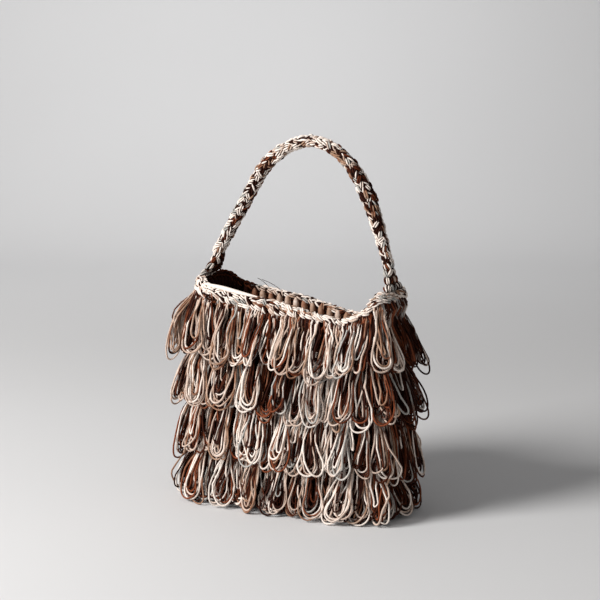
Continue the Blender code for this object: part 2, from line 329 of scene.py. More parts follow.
def tier_height(station, height, share):
    """A tier's height at a station, where it follows a share of the rim's rise."""
    return height + share * (rim_height(station) - RIM_LOW)


def rim_spot(station, out, share):
    """Point on the rim band: out from the pouch's face, and a share of the band's height up."""
    return wall_point(station, rim_height(station) - RIM_BAND * (1 - share), out)


def strap_centres():
    """Evenly spaced centres along the strap, two to a stitch."""
    knots = [Vector((x, 0, height)) for x, height in STRAP_LINE]
    fine = []
    for i in range(len(knots) - 1):
        before, after = knots[max(i - 1, 0)], knots[min(i + 2, len(knots) - 1)]
        start, end = knots[i], knots[i + 1]
        lead, trail = start + (end - before) / 6, end - (after - start) / 6
        fine += interpolate_bezier(start, lead, trail, end, STRAP_FINE_STEPS)[:-1]
    fine.append(knots[-1])
    reached = [0.0]
    for a, b in zip(fine, fine[1:]):
        reached.append(reached[-1] + (b - a).length)
    count = 2 * round(reached[-1] / STRAP_STITCH) + 1
    centres, at = [], 0
    for k in range(count):
        goal = reached[-1] * k / (count - 1)
        while at < len(fine) - 2 and reached[at + 1] < goal:
            at += 1
        share = (goal - reached[at]) / (reached[at + 1] - reached[at])
        centres.append(fine[at].lerp(fine[at + 1], min(share, 1.0)))
    return centres


def strap_ahead(centres, k):
    return (centres[min(k + 1, len(centres) - 1)] - centres[max(k - 1, 0)]).normalized()


STRAP_FULLNESS = (
    # share of the strap's length, share of its full section: it was not worked evenly
    (0.00, 0.94),
    (0.15, 1.02),
    (0.34, 1.08),
    (0.50, 0.92),
    (0.62, 0.96),
    (0.72, 1.08),
    (0.80, 1.20),
    (0.88, 1.04),
    (0.94, 0.90),
    (1.00, 0.82),
)


def strap_ring(centres, k, size, sides):
    """A ring round the strap, size times its full section."""
    size *= smooth_value(STRAP_FULLNESS, k / (len(centres) - 1))
    ahead = strap_ahead(centres, k)
    upward = Vector((-ahead.z, 0, ahead.x))
    ring = []
    for i in range(sides):
        angle = 2 * math.pi * i / sides
        across = Vector((0, -math.cos(angle) * STRAP_HALF_WIDTH * size, 0))
        ring.append(centres[k] + across + upward * math.sin(angle) * STRAP_HALF_THICKNESS * size)
    return ring


def gusset_ring(station, turn, size, sides):
    """The foot of a gusset: a thin curved ring that stands on the rim band's narrow end."""
    height = rim_height(station) + GAP
    ring = []
    for i in range(sides):
        angle = 2 * math.pi * i / sides
        along = turn * math.cos(angle) * GUSSET_HALF_SPAN * size / GIRTH
        out = GUSSET_OUT + math.sin(angle) * GUSSET_HALF_THICKNESS * size
        ring.append(wall_point(station + along, height, out)[0])
    return ring


def blend_rings(foot, end, share):
    """A ring between a gusset's foot and the strap's end. It narrows fast over the foot."""
    narrowing = 1 - (1 - share) ** GUSSET_NARROWING
    ring = []
    for a, b in zip(foot, end):
        point = a.lerp(b, narrowing)
        point.z = mix(a.z, b.z, share)
        ring.append(point)
    return ring


def loop_out(down, out_end, far):
    """How far a loop lies outside the pouch, at a share of its tier's length below the root."""
    return mix(LOOP_OUT_ROOT, out_end, down) + far * FAR_LOOP_OUT * min(down / FAR_LOOP_SHARE, 1.0)


# ---- Nodes ----


def add_node(tree, kind, inputs=None, **settings):
    """Adds a node. An input is given by its name or number, as a value or another node's socket."""
    made = tree.nodes.new(kind)
    for name, value in settings.items():
        setattr(made, name, value)
    for key, value in (inputs or {}).items():
        if isinstance(value, bpy.types.NodeSocket):
            tree.links.new(value, made.inputs[key])
        else:
            made.inputs[key].default_value = value
    return made


def node_value(tree, kind, inputs=None, **settings):
    """Adds a node and gives its first output."""
    return add_node(tree, kind, inputs, **settings).outputs[0]


def new_tree(name, sockets):
    """A geometry tree with named inputs, given as (name, socket type, default)."""
    tree = bpy.data.node_groups.new(name, "GeometryNodeTree")
    tree.interface.new_socket("Geometry", in_out="INPUT", socket_type="NodeSocketGeometry")
    tree.interface.new_socket("Geometry", in_out="OUTPUT", socket_type="NodeSocketGeometry")
    for label, kind, default in sockets:
        socket = tree.interface.new_socket(label, in_out="INPUT", socket_type=kind)
        if default is not None:
            socket.default_value = default
    return tree, add_node(tree, "NodeGroupInput").outputs


def maths(tree, operation, *values):
    return node_value(tree, "ShaderNodeMath", dict(enumerate(values)), operation=operation)


def captured(tree, geometry, value):
    """Keeps a value on the points of a geometry. Gives the geometry and the kept value."""
    keep = tree.nodes.new("GeometryNodeCaptureAttribute")
    keep.capture_items.new("FLOAT", "Kept")
    tree.links.new(geometry, keep.inputs["Geometry"])
    tree.links.new(value, keep.inputs["Kept"])
    return keep.outputs["Geometry"], keep.outputs["Kept"]


def round_tube(tree, line, diameter, sides, size):
    """A closed tube on a line. Its points keep their place round and along the yarn."""
    place = add_node(tree, "GeometryNodeSplineParameter").outputs
    line, along = captured(tree, line, place["Length"])
    radius = maths(tree, "MULTIPLY", diameter, 0.5)
    circle = node_value(tree, "GeometryNodeCurvePrimitiveCircle", {"Resolution": sides, "Radius": radius})
    around_place = add_node(tree, "GeometryNodeSplineParameter").outputs
    circle, around = captured(tree, circle, around_place["Factor"])
    parts = {"Curve": line, "Profile Curve": circle, "Scale": size, "Fill Caps": True}
    tube = node_value(tree, "GeometryNodeCurveToMesh", parts)
    angle = maths(tree, "MULTIPLY", around, 2 * math.pi)
    spot = {0: maths(tree, "COSINE", angle), 1: maths(tree, "SINE", angle), 2: along}
    kept = {"Geometry": tube, "Name": "yarn", "Value": node_value(tree, "ShaderNodeCombineXYZ", spot)}
    return node_value(
        tree, "GeometryNodeStoreNamedAttribute", kept, data_type="FLOAT_VECTOR", domain="POINT"
    )


def finish_tree(tree, geometry, material):
    geometry = node_value(tree, "GeometryNodeSetShadeSmooth", {"Geometry": geometry})
    geometry = node_value(tree, "GeometryNodeRealizeInstances", {"Geometry": geometry})
    geometry = node_value(tree, "GeometryNodeSetMaterial", {"Geometry": geometry, "Material": material})
    add_node(tree, "NodeGroupOutput", {0: geometry})
    return tree


def named_value(tree, name, kind):
    return node_value(tree, "GeometryNodeInputNamedAttribute", {"Name": name}, data_type=kind)


def yarn_tree():
    """Tubes of yarn along the edges of a mesh, whose points hold the yarn's fullness."""
    tree, given = new_tree(
        "yarn_on_paths",
        (
            ("Yarn diameter", "NodeSocketFloat", 0.0022),
            ("Sides", "NodeSocketInt", 8),
            ("Material", "NodeSocketMaterial", None),
        ),
    )
    line = node_value(tree, "GeometryNodeMeshToCurve", {"Mesh": given["Geometry"]})
    size = named_value(tree, "fullness", "FLOAT")
    tube = round_tube(tree, line, given["Yarn diameter"], given["Sides"], size)
    return finish_tree(tree, tube, given["Material"])


STITCH_STEPS = 5
STITCH_SIDES = 6
STITCH_TAPER = 0.62  # how much thinner a stitch is at its ends


def stitch_tree():
    """Plump arched stitches on the points of a mesh, which hold how each one lies and faces."""
    tree, given = new_tree(
        "stitches_on_points",
        (
            ("Stitch length", "NodeSocketFloat", 0.008),
            ("Stitch thickness", "NodeSocketFloat", 0.0034),
            ("Arch", "NodeSocketFloat", 0.001),
            ("Size spread", "NodeSocketFloat", 0.1),
            ("Seed", "NodeSocketInt", 1),
            ("Material", "NodeSocketMaterial", None),
        ),
    )
    half = maths(tree, "MULTIPLY", given["Stitch length"], 0.5)
    back = maths(tree, "MULTIPLY", half, -1.0)
    dip = maths(tree, "MULTIPLY", given["Arch"], -1.0)
    start = node_value(tree, "ShaderNodeCombineXYZ", {0: back, 2: dip})
    middle = node_value(tree, "ShaderNodeCombineXYZ", {2: given["Arch"]})
    end = node_value(tree, "ShaderNodeCombineXYZ", {0: half, 2: dip})
    ends = {"Resolution": STITCH_STEPS, "Start": start, "Middle": middle, "End": end}
    line = node_value(tree, "GeometryNodeCurveQuadraticBezier", ends)
    place = add_node(tree, "GeometryNodeSplineParameter").outputs["Factor"]
    side = maths(tree, "ABSOLUTE", maths(tree, "MULTIPLY_ADD", place, 2.0, -1.0))
    taper = maths(tree, "MULTIPLY_ADD", maths(tree, "POWER", side, 3.0), -STITCH_TAPER, 1.0)
    line, size = captured(tree, line, taper)
    stitch = round_tube(tree, line, given["Stitch thickness"], STITCH_SIDES, size)
    axes = {0: named_value(tree, "facing", "FLOAT_VECTOR"), 1: named_value(tree, "lying", "FLOAT_VECTOR")}
    turn = node_value(tree, "FunctionNodeAxesToRotation", axes, primary_axis="Z", secondary_axis="X")
    spread = given["Size spread"]
    bounds = {2: maths(tree, "SUBTRACT", 1.0, spread), 3: maths(tree, "ADD", 1.0, spread)}
    bounds["Seed"] = given["Seed"]
    scale = add_node(tree, "FunctionNodeRandomValue", bounds, data_type="FLOAT").outputs[1]
    size = maths(tree, "MULTIPLY", scale, named_value(tree, "fullness", "FLOAT"))
    parts = {"Points": given["Geometry"], "Instance": stitch, "Rotation": turn, "Scale": size}
    placed = node_value(tree, "GeometryNodeInstanceOnPoints", parts)
    return finish_tree(tree, placed, given["Material"])


def placed_in_scene(name, data):
    made = bpy.data.objects.new(name, data)
    bpy.context.scene.collection.objects.link(made)
    return made


def made_by(tree, guide, name, values):
    """The plain mesh that a tree makes of a guide object, as a new piece."""
    modifier = guide.modifiers.new(tree.name, "NODES")
    modifier.node_group = tree
    for socket in tree.interface.items_tree:
        if socket.in_out == "INPUT" and socket.name in values:
            modifier[socket.identifier] = values[socket.name]
    graph = bpy.context.evaluated_depsgraph_get()
    mesh = bpy.data.meshes.new_from_object(
        guide.evaluated_get(graph), preserve_all_data_layers=True, depsgraph=graph
    )
    mesh.name = name
    bpy.data.objects.remove(guide, do_unlink=True)
    return placed_in_scene(name, mesh)


# ---- Guides: what the trees work on ----


def new_guide(name, points, edges, kept):
    """Bare points or lines for a tree to work on, with named numbers or vectors on the points."""
    mesh = bpy.data.meshes.new(name)
    mesh.from_pydata(points, edges, [])
    for label, values in kept.items():
        if isinstance(values[0], Vector):
            attribute = mesh.attributes.new(label, "FLOAT_VECTOR", "POINT")
            attribute.data.foreach_set("vector", [number for vector in values for number in vector])
        else:
            attribute = mesh.attributes.new(label, "FLOAT", "POINT")
            attribute.data.foreach_set("value", values)
    return placed_in_scene(name, mesh)


class Yarns:
    """Open lines of yarn, gathered into one guide."""

    TAPER = 0.75  # how much thinner a tapered line is at its ends

    def __init__(self):
        self.points, self.edges, self.dyes, self.fullness = [], [], [], []

    def add(self, points, dye, fullness=1.0, tapered=False):
        first = len(self.points)
        length = 0.0
        for i, point in enumerate(points):
            if i:
                length += (point - points[i - 1]).length
                self.edges.append((first + i - 1, first + i))
            self.points.append(point)
            self.dyes.append(dye + length / DYE_REPEAT)
            share = 2 * i / (len(points) - 1) - 1
            self.fullness.append(fullness * (1 - self.TAPER * share ** 2) if tapered else fullness)

    def make(self, name, diameter, sides, material):
        kept = {"dye": self.dyes, "fullness": self.fullness}
        guide = new_guide(name + "_paths", self.points, self.edges, kept)
        values = {"Yarn diameter": diameter, "Sides": sides, "Material": material}
        return made_by(tree_named("yarn_on_paths"), guide, name, values)


class Stitches:
    """Places of stitches, gathered into one guide."""

    SPLAY = 300  # how far the two strands of a pair face apart, per metre between them

    def __init__(self):
        self.points, self.facing, self.lying, self.dyes, self.fullness = [], [], [], [], []

    def add_pair(self, point, facing, lying, dyes, gap, fullness):
        """Two strands of a doubled stitch, side by side."""
        beside = facing.cross(lying).normalized() * gap / 2
        for side, dye in zip((-1, 1), dyes):
            self.add(point + beside * side, facing + beside * side * self.SPLAY, lying, dye, fullness)

    def add(self, point, facing, lying, dye, fullness):
        self.points.append(point)
        self.facing.append(facing.normalized())
        self.lying.append(lying.normalized())
        self.dyes.append(dye)
        self.fullness.append(fullness)

    def make(self, name, length, thickness, arch, seed, material, spread=0.1):
        kept = {"dye": self.dyes, "fullness": self.fullness, "facing": self.facing, "lying": self.lying}
        guide = new_guide(name + "_places", self.points, [], kept)
        values = {
            "Stitch length": length,
            "Stitch thickness": thickness,
            "Arch": arch,
            "Size spread": spread,
            "Seed": seed,
            "Material": material,
        }
        return made_by(tree_named("stitches_on_points"), guide, name, values)


def tree_named(name):
    """The tree of that name, built on first use."""
    builders = {"yarn_on_paths": yarn_tree, "stitches_on_points": stitch_tree}
    return bpy.data.node_groups.get(name) or builders[name]()


def loft(rings, loop=False):
    """A closed mesh through rings of points. The last ring joins the first, or both get a cap."""
    bm = bmesh.new()
    rows = [[bm.verts.new(point) for point in ring] for ring in rings]
    pairs = list(zip(rows, rows[1:]))
    if loop:
        pairs.append((rows[-1], rows[0]))
    else:
        bm.faces.new(rows[0])
        bm.faces.new(rows[-1])
    for a, b in pairs:
        for i in range(len(a)):
            j = (i + 1) % len(a)
            bm.faces.new((a[i], a[j], b[j], b[i]))
    return bm


def add_piece(name, bm, material):
    bmesh.ops.recalc_face_normals(bm, faces=bm.faces)
    mesh = bpy.data.meshes.new(name)
    bm.to_mesh(mesh)
    bm.free()
    mesh.shade_smooth()
    mesh.materials.append(material)
    return placed_in_scene(name, mesh)


# ---- Finishes ----


def hex_colour(code):
    """Linear colour of an sRGB hex value."""
    shares = [int(code[i : i + 2], 16) / 255 for i in (1, 3, 5)]
    linear = [c / 12.92 if c <= 0.04045 else ((c + 0.055) / 1.055) ** 2.4 for c in shares]
    return (*linear, 1.0)


def new_material(name):
    material = bpy.data.materials.new(name)
    material.use_nodes = True
    return material, material.node_tree, material.node_tree.nodes["Principled BSDF"]


def set_matt(shader, roughness, specular):
    shader.inputs["Roughness"].default_value = roughness
    shader.inputs["Specular IOR Level"].default_value = specular


def add_relief(tree, shader, height, strength, depth):
    bump = node_value(tree, "ShaderNodeBump", {"Height": height, "Strength": strength, "Distance": depth})
    tree.links.new(bump, shader.inputs["Normal"])


def noise(tree, where, scale, detail, roughness=0.5):
    """Noise whose grains are about 1 / scale metres across."""
    values = {"Vector": where, "Scale": scale, "Detail": detail, "Roughness": roughness}
    return node_value(tree, "ShaderNodeTexNoise", values)


def two_colours(tree, value, low, high):
    """A blend between two hex colours, each given with the value at which it is reached."""
    ramp = add_node(tree, "ShaderNodeValToRGB", {"Fac": value})
    for stop, (position, code) in zip(ramp.color_ramp.elements, (low, high)):
        stop.position = position
        stop.color = hex_colour(code)
    return ramp.outputs["Color"]


DYE_DRIFT = 0.24
PLIES = 3
PLY_TURN = 0.005  # metres of yarn for a full turn of its plies
DYE_STOPS = (
    # place in the dye's repeat, colour
    (0.00, "cream"),
    (0.12, "cream"),
    (0.17, "peach"),
    (0.25, "peach"),
    (0.31, "tan"),
    (0.39, "rust"),
    (0.45, "rust"),
    (0.50, "brown"),
    (0.55, "dark"),
    (0.66, "dark"),
    (0.72, "brown"),
    (0.79, "grey"),
    (0.91, "grey"),
    (1.00, "cream"),
)


def yarn_material(name):
    """Space-dyed cotton yarn, plied: long soft changes of colour, fine slanting plies, matt fibres."""
    colours = bpy.context.scene.handbag_colours
    material, tree, shader = new_material(name)
    dye = add_node(tree, "ShaderNodeAttribute", attribute_name="dye").outputs["Fac"]
    place = add_node(tree, "ShaderNodeAttribute", attribute_name="yarn").outputs["Vector"]
    where = add_node(tree, "ShaderNodeTexCoord").outputs["Object"]
    # The dye took unevenly: its colour drifts to and fro over about 10 mm.
    uneven = noise(tree, where, 90.0, 3.0, 0.6)
    drift = maths(tree, "MULTIPLY_ADD", uneven, DYE_DRIFT, -DYE_DRIFT / 2)
    shown = maths(tree, "FRACT", maths(tree, "ADD", dye, drift))
    ramp = add_node(tree, "ShaderNodeValToRGB", {"Fac": shown})
    stops = ramp.color_ramp.elements
    while len(stops) < len(DYE_STOPS):
        stops.new(0.5)
    for stop, (position, label) in zip(stops, DYE_STOPS):
        stop.position = position
        stop.color = (*getattr(colours, label), 1.0)
    # Fibres: flecks of about 1.5 mm, lighter and darker than the dye.
    flecks = noise(tree, where, 650.0, 2.0)
    spans = {"Value": flecks, "From Min": 0.3, "From Max": 0.7, "To Min": 0.86, "To Max": 1.08}
    value = node_value(tree, "ShaderNodeMapRange", spans)
    tinted = node_value(tree, "ShaderNodeHueSaturation", {"Color": ramp.outputs["Color"], "Value": value})
    tree.links.new(tinted, shader.inputs["Base Color"])
    # Plies: three strands twisted round each other, as fine slanting ridges.
    axes = add_node(tree, "ShaderNodeSeparateXYZ", {0: place}).outputs
    angle = maths(tree, "ARCTAN2", axes[1], axes[0])
    around = maths(tree, "MULTIPLY", angle, float(PLIES))
    twist = maths(tree, "MULTIPLY_ADD", axes[2], 2 * math.pi * PLIES / PLY_TURN, around)
    plies = maths(tree, "SINE", twist)
    relief = maths(tree, "MULTIPLY_ADD", plies, 0.5, maths(tree, "MULTIPLY", flecks, 0.6))
    add_relief(tree, shader, relief, 0.5, 0.0002)
    set_matt(shader, 0.8, 0.15)
    return material


FINE_STITCH_WIDTH = 0.005
FINE_STITCH_HEIGHT = 0.004


def crochet_material(name, light, dark):
    """Close crochet in the same cotton: rows of small V stitches, coloured from their relief: lighter on
    their crowns and darker in the hollows, as painted shade.
    """
    material, tree, shader = new_material(name)
    where = add_node(tree, "ShaderNodeTexCoord").outputs["Object"]
    # Small stitches, as ridges that lean both ways.
    axes = add_node(tree, "ShaderNodeSeparateXYZ", {0: where}).outputs
    run = maths(tree, "ADD", axes[0], axes[1])
    rows = maths(tree, "MULTIPLY", axes[2], 2 * math.pi / FINE_STITCH_HEIGHT)
    across = maths(tree, "MULTIPLY", run, math.pi / FINE_STITCH_WIDTH)
    columns = maths(tree, "ABSOLUTE", maths(tree, "SINE", across))
    ridges = maths(tree, "SINE", maths(tree, "MULTIPLY_ADD", columns, 2.2, rows))
    # Fuzz: grains of about 3 mm, which break the ridges up.
    relief = maths(tree, "MULTIPLY_ADD", ridges, 0.5, noise(tree, where, 320.0, 3.0))
    # Low relief is darker: painted shade in the hollows between the stitches
    colour = two_colours(tree, relief, (0.15, dark), (0.95, light))
    tree.links.new(colour, shader.inputs["Base Color"])
    add_relief(tree, shader, relief, 0.7, 0.0008)
    set_matt(shader, 0.9, 0.1)
    return material


def paper_material(name):
    """Seamless studio paper: matt and near white, with slow faint changes of tone."""
    material, tree, shader = new_material(name)
    where = add_node(tree, "ShaderNodeTexCoord").outputs["Object"]
    clouds = noise(tree, where, 2.0, 1.0)
    colour = two_colours(tree, clouds, (0.0, "#d5d5d6"), (1.0, "#d9d9da"))
    tree.links.new(colour, shader.inputs["Base Color"])
    set_matt(shader, 0.95, 0.1)
    return material


FINISHES = {
    # name: how it is made, and its light and dark colour where it has them
    "dyed_cotton_yarn": (yarn_material,),
    "close_crochet_brown": (crochet_material, "#522812", "#1b0902"),
    # Near-black brown as painted shade: the cloth and cores show in the gaps between loops and stitches
    "close_crochet_painted_shade": (crochet_material, "#351507", "#120601"),
    "studio_paper": (paper_material,),
}


def material_named(name):
    """The finish of that name, made on first use."""
    maker, *colours = FINISHES[name]
    return bpy.data.materials.get(name) or maker(name, *colours)


# ---- Settings ----


def colour_property(label, code, words):
    colour = hex_colour(code)[:3]
    return FloatVectorProperty(
        name=label, description=words, default=colour, size=3, min=0.0, max=1.0, subtype="COLOR"
    )


def length_property(label, words, default, least):
    return FloatProperty(name=label, description=words, default=default, min=least, unit="LENGTH")


class HANDBAG_PG_sizes(bpy.types.PropertyGroup):
    yarn: length_property("Yarn", "Diameter of the fringe's yarn", 0.0019, 0.001)
    yarn_sides: IntProperty(name="Yarn sides", description="Faces round a strand", default=5, min=3, max=12)
    stitch_length: length_property("Stitch length", "Length of a stitch on the rim", 0.0084, 0.004)
    stitch_thickness: length_property("Stitch thickness", "Thickness of a strand in a stitch", 0.0019, 0.001)
    seed: IntProperty(name="Seed", description="Changes how the strands fall", default=11, min=0)


class HANDBAG_PG_colours(bpy.types.PropertyGroup):
    cream: colour_property("Cream", "#f0e3d9", "Undyed lengths of the yarn")
    peach: colour_property("Peach", "#cbb4a5", "Palest dyed lengths")
    tan: colour_property("Tan", "#a18069", "Lengths between peach and rust")
    rust: colour_property("Rust", "#7e4228", "Red-brown lengths")
    brown: colour_property("Brown", "#54250e", "Brown lengths")
    dark: colour_property("Dark", "#2c0d03", "Darkest lengths")
    grey: colour_property("Grey", "#aca9a4", "Grey lengths")


class HandbagOperator:
    bl_options = {"REGISTER", "UNDO"}


class HANDBAG_OT_pouch(HandbagOperator, bpy.types.Operator):
    """Make the crocheted pouch and the post stitches inside it"""

    bl_idname = "handbag.pouch"
    bl_label = "Pouch"

    def execute(self, context):
        cloth = make_pouch_cloth()
        posts = make_post_stitches(context.scene.handbag_sizes)
        for piece in (cloth, posts):
            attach(piece, "root")
        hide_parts("pouch")
        return {"FINISHED"}


class HANDBAG_OT_rim(HandbagOperator, bpy.types.Operator):
    """Make the stitched rim of the mouth"""

    bl_idname = "handbag.rim"
    bl_label = "Rim"

    def execute(self, context):
        band, stitches, edge = make_rim(context.scene.handbag_sizes)
        for piece in (band, stitches, edge):
            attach(piece, "root")
        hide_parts("rim_band")
        return {"FINISHED"}


class HANDBAG_OT_strap(HandbagOperator, bpy.types.Operator):
    """Make the strap with its columns of chain stitches and its gussets"""

    bl_idname = "handbag.strap"
    bl_label = "Strap"

    def execute(self, context):
        core, stitches = make_strap(context.scene.handbag_sizes)
        for piece in (core, stitches):
            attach(piece, "root")
        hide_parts("strap")
        return {"FINISHED"}


class HANDBAG_OT_fringe(HandbagOperator, bpy.types.Operator):
    """Make the four tiers of yarn loops"""

    bl_idname = "handbag.fringe"
    bl_label = "Fringe"

    def execute(self, context):
        form_rng = random.Random(LOOP_SEED)
        for number, tier in enumerate(TIERS):
            loops, band = make_tier(number, form_rng, context.scene.handbag_sizes)
            for piece in (loops, band):
                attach(piece, "root")
            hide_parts(tier[0])
        return {"FINISHED"}


class HANDBAG_OT_stage(HandbagOperator, bpy.types.Operator):
    """Set up the floor, the backdrop, the light and the camera"""

    bl_idname = "handbag.stage"
    bl_label = "Stage"

    def execute(self, context):
        make_stage()
        return {"FINISHED"}


class HANDBAG_PT_panel(bpy.types.Panel):
    """Sizes, colours and steps of the handbag"""

    bl_idname = "HANDBAG_PT_panel"
    bl_label = "Crochet handbag"
    bl_space_type = "VIEW_3D"
    bl_region_type = "UI"
    bl_category = "Handbag"

    def draw(self, context):
        for settings in (context.scene.handbag_sizes, context.scene.handbag_colours):
            box = self.layout.box()
            for name in settings.__annotations__:
                box.prop(settings, name)
        for operator in OPERATORS:
            self.layout.operator(operator.bl_idname)


OPERATORS = (
    HANDBAG_OT_pouch,
    HANDBAG_OT_rim,
    HANDBAG_OT_strap,
    HANDBAG_OT_fringe,
    HANDBAG_OT_stage,
)
CLASSES = (HANDBAG_PG_sizes, HANDBAG_PG_colours, *OPERATORS, HANDBAG_PT_panel)


def register():
    for item in CLASSES:
        bpy.utils.register_class(item)
    bpy.types.Scene.handbag_sizes = PointerProperty(type=HANDBAG_PG_sizes)
    bpy.types.Scene.handbag_colours = PointerProperty(type=HANDBAG_PG_colours)


def unregister():
    del bpy.types.Scene.handbag_colours
    del bpy.types.Scene.handbag_sizes
    for item in reversed(CLASSES):
        bpy.utils.unregister_class(item)


# ---- Pouch ----

CLOTH_STATIONS = 240
WALL_ROWS = 48
BASE_ROWS = 5
BASE_HUB = 0.03  # size of the base's innermost ring, as a share of its edge
CLOTH_RELIEF = 0.0004
POST_UNDER_RIM = 0.35  # how far the rows of posts end below the mouth's edge, as a share of the band
POST_IN = 0.0007
POST_LEAN = 0.10
POST_OVERLAP = 1.12  # length of a post, as a share of its row's height
POST_THICKNESS = 0.0070
POST_ARCH = 0.0006
POST_SEED = 3
POST_SIZE_SPREAD = 0.04
POST_FULLNESS = (0.94, 1.06)
POST_DYES = ("ttpt", "dddb")  # and those in the left end, dark as painted shade


def make_pouch_cloth():
    """The pouch's wall and base as one thin shell with low rows of crochet."""
    stations = [i / CLOTH_STATIONS for i in range(CLOTH_STATIONS)]
    tops = [rim_height(s) - RIM_BAND for s in stations]

    def base_ring(share, height, inset):
        edge = [wall_point(s, height, inset)[0] for s in stations]
        return [Vector((p.x * share, p.y * share, height)) for p in edge]

    def wall_ring(share, inset, low):
        ring = []
        for i, (station, top) in enumerate(zip(stations, tops)):
            height = mix(low, top, share)
            relief = CLOTH_RELIEF * math.sin(math.pi * i / 2) * math.sin(math.pi * share * WALL_ROWS / 2)
            ring.append(wall_point(station, height, inset + relief)[0])
        return ring

    shares = [BASE_HUB] + [(i + 1) / BASE_ROWS for i in range(BASE_ROWS)]
    walls = [i / WALL_ROWS for i in range(WALL_ROWS + 1)]
    rings = [base_ring(share, 0.0, -BASE_EDGE) for share in shares]
    rings += [wall_ring(share, 0.0, BASE_EDGE) for share in walls]
    rings += [wall_ring(share, -WALL, WALL) for share in reversed(walls)]
    rings += [base_ring(share, WALL, -WALL) for share in reversed(shares[:-1])]
    # The cloth is near-black brown as painted shade: it shows in the gaps between the loops and between the
    # posts
    return add_piece("pouch_cloth", loft(rings), material_named("close_crochet_painted_shade"))


def make_post_stitches(sizes):
    """Upright post stitches in rows, all round the pouch's inner face."""
    rng = random.Random(sizes.seed)
    stitches = Stitches()
    count = round(WALL_GIRTH / POST_PITCH)
    rows = int((RIM_LOW - RIM_BAND) / POST_ROW)
    for row in range(rows):
        for i in range(count):
            station = (i + row % 2 / 2) / count
            top = rim_height(station) - RIM_BAND * POST_UNDER_RIM
            height = mix(WALL, top, (row + 0.5) / rows)
            spot, outward = wall_point(station, height, -WALL - POST_IN)
            lean = outward.cross(UP) * rng.uniform(-POST_LEAN, POST_LEAN)
            # Posts in the left end take dark dyes, as painted shade
            dye = DYE[rng.choice(POST_DYES[in_painted_shade_left_end(station)])]
            dye += rng.uniform(-STITCH_DYE_SPREAD, STITCH_DYE_SPREAD)
            stitches.add(spot, -outward, UP + lean, dye, rng.uniform(*POST_FULLNESS))
    shape = (POST_ROW * POST_OVERLAP, POST_THICKNESS, POST_ARCH, POST_SEED)
    return stitches.make("post_stitches", *shape, material_named("dyed_cotton_yarn"), POST_SIZE_SPREAD)


# ---- Rim ----

RIM_STATIONS = 192
RIM_CORE = (
    # out from the pouch's face, share of the band's height
    (-0.0030, 0.00),
    (0.0006, 0.00),
    (0.0014, 0.24),
    (0.0012, 0.74),
    (-0.0006, 0.92),
    (-0.0030, 0.74),
)
RIM_ROWS = (
    # out from the pouch's face, share of the band's height, the share in the low part, how far it
    # faces up, lean in degrees
    (0.0044, 0.02, 0.68, 0.0, -36),
    (0.0032, 0.36, 0.76, 0.1, -26),
    (0.0026, 0.70, 0.86, 0.5, -20),
    (0.0004, 0.91, 0.91, 1.6, -12),
    (-0.0024, 0.92, 0.90, 2.2, 14),
    (-0.0042, 0.70, 0.64, 0.3, -30),
)
RIM_CORD = (0.598, 0.704)  # stations between which a thicker cord lies on the front edge
CORD_DIAMETER = 0.0048
CORD_STEPS = 30
CORD_SIDES = 8
CORD_OUT = 0.0014
CORD_RISE = 0.0008
CORD_PALER = -0.03  # where in the cream length its dye starts
LOOSE_ENDS = (
    # station, lean along the rim, rise
    (0.335, 0.020, 0.0085),
    (0.313, 0.034, 0.0078),
)
LOOSE_END_STEPS = 8
LOOSE_END_START = 1.3  # slope at which a loose end rises at first, and how much flatter it gets
LOOSE_END_CURVE = 0.5
LOOSE_END_OUT = -0.0012
LOOSE_END_SIZE = 0.12  # of the cord's diameter
NARROWS = (-0.005, 0.040)  # x from which the rim gets narrow, and the length over which it does
WIDENS = (0.082, 0.020)  # the same for where its stitches spread again
WIDENS_BY = 0.6
UNDER_FOOT = (0.086, 0.012)  # the same for where it is full again, under the strap's foot
LOW_RIM_LESS = 0.22  # how much less of the band's height the rim takes in its low part
# Stations of the left end whose inner face takes dark dyes, as painted shade from the strap's foot and the
# gusset
PAINTED_SHADE_LEFT_END = (0.365, 0.56)
RIM_SHIFT = 0.22  # of a stitch's pitch
RIM_RISE = 0.07  # of the band's height
RIM_LOOK = 0.002  # of the way round, to find which way the rim runs
RIM_LEAN_SPREAD = 19  # degrees
RIM_RIGHT = 0.06  # x from which the stitches lean least and have most odd strands
RIM_UPRIGHT = 0.5  # how much less they lean there
INWARD = -0.003  # rows further in than this face inward
SEEN_INSIDE = (0.002, 0.48)  # rows further in than this are dark too, as painted shade, up to this station
RIM_RUN = "ccccccccccpptg"
RIM_RUN_CHANCE = 0.55  # that a stitch starts another length
RIM_ODD = "ddddbp"
RIM_ODD_CHANCE = (0.36, 0.24)  # that one strand of a pair is odd, and how much more at the right
RIM_DYE_SPREAD = 0.05
RIM_GAP = 1.2  # between a pair's strands, as a share of their thickness
RIM_FULLNESS = (0.80, 1.12)
RIM_ARCH = 0.0012
RIM_SEED = 5


def rim_narrowness(station):
    """1 along the low part of the mouth's edge, where the rim is narrow, and 0 along its left half."""
    x = wall_point(station, MOUTH_HEIGHT)[0].x
    return eased(x, *NARROWS) * (1 - WIDENS_BY * eased(x, *WIDENS))


def rim_fullness(station):
    """How much of the solid band's height the rim takes: less in its low part, up to the strap's foot."""
    x = wall_point(station, MOUTH_HEIGHT)[0].x
    return 1 - LOW_RIM_LESS * eased(x, *NARROWS) * (1 - eased(x, *UNDER_FOOT))


def in_painted_shade_left_end(station):
    """Whether the inner face there takes dark dyes, as painted shade: the left end, up to a little past its
    corner.
    """
    return PAINTED_SHADE_LEFT_END[0] < station < PAINTED_SHADE_LEFT_END[1]


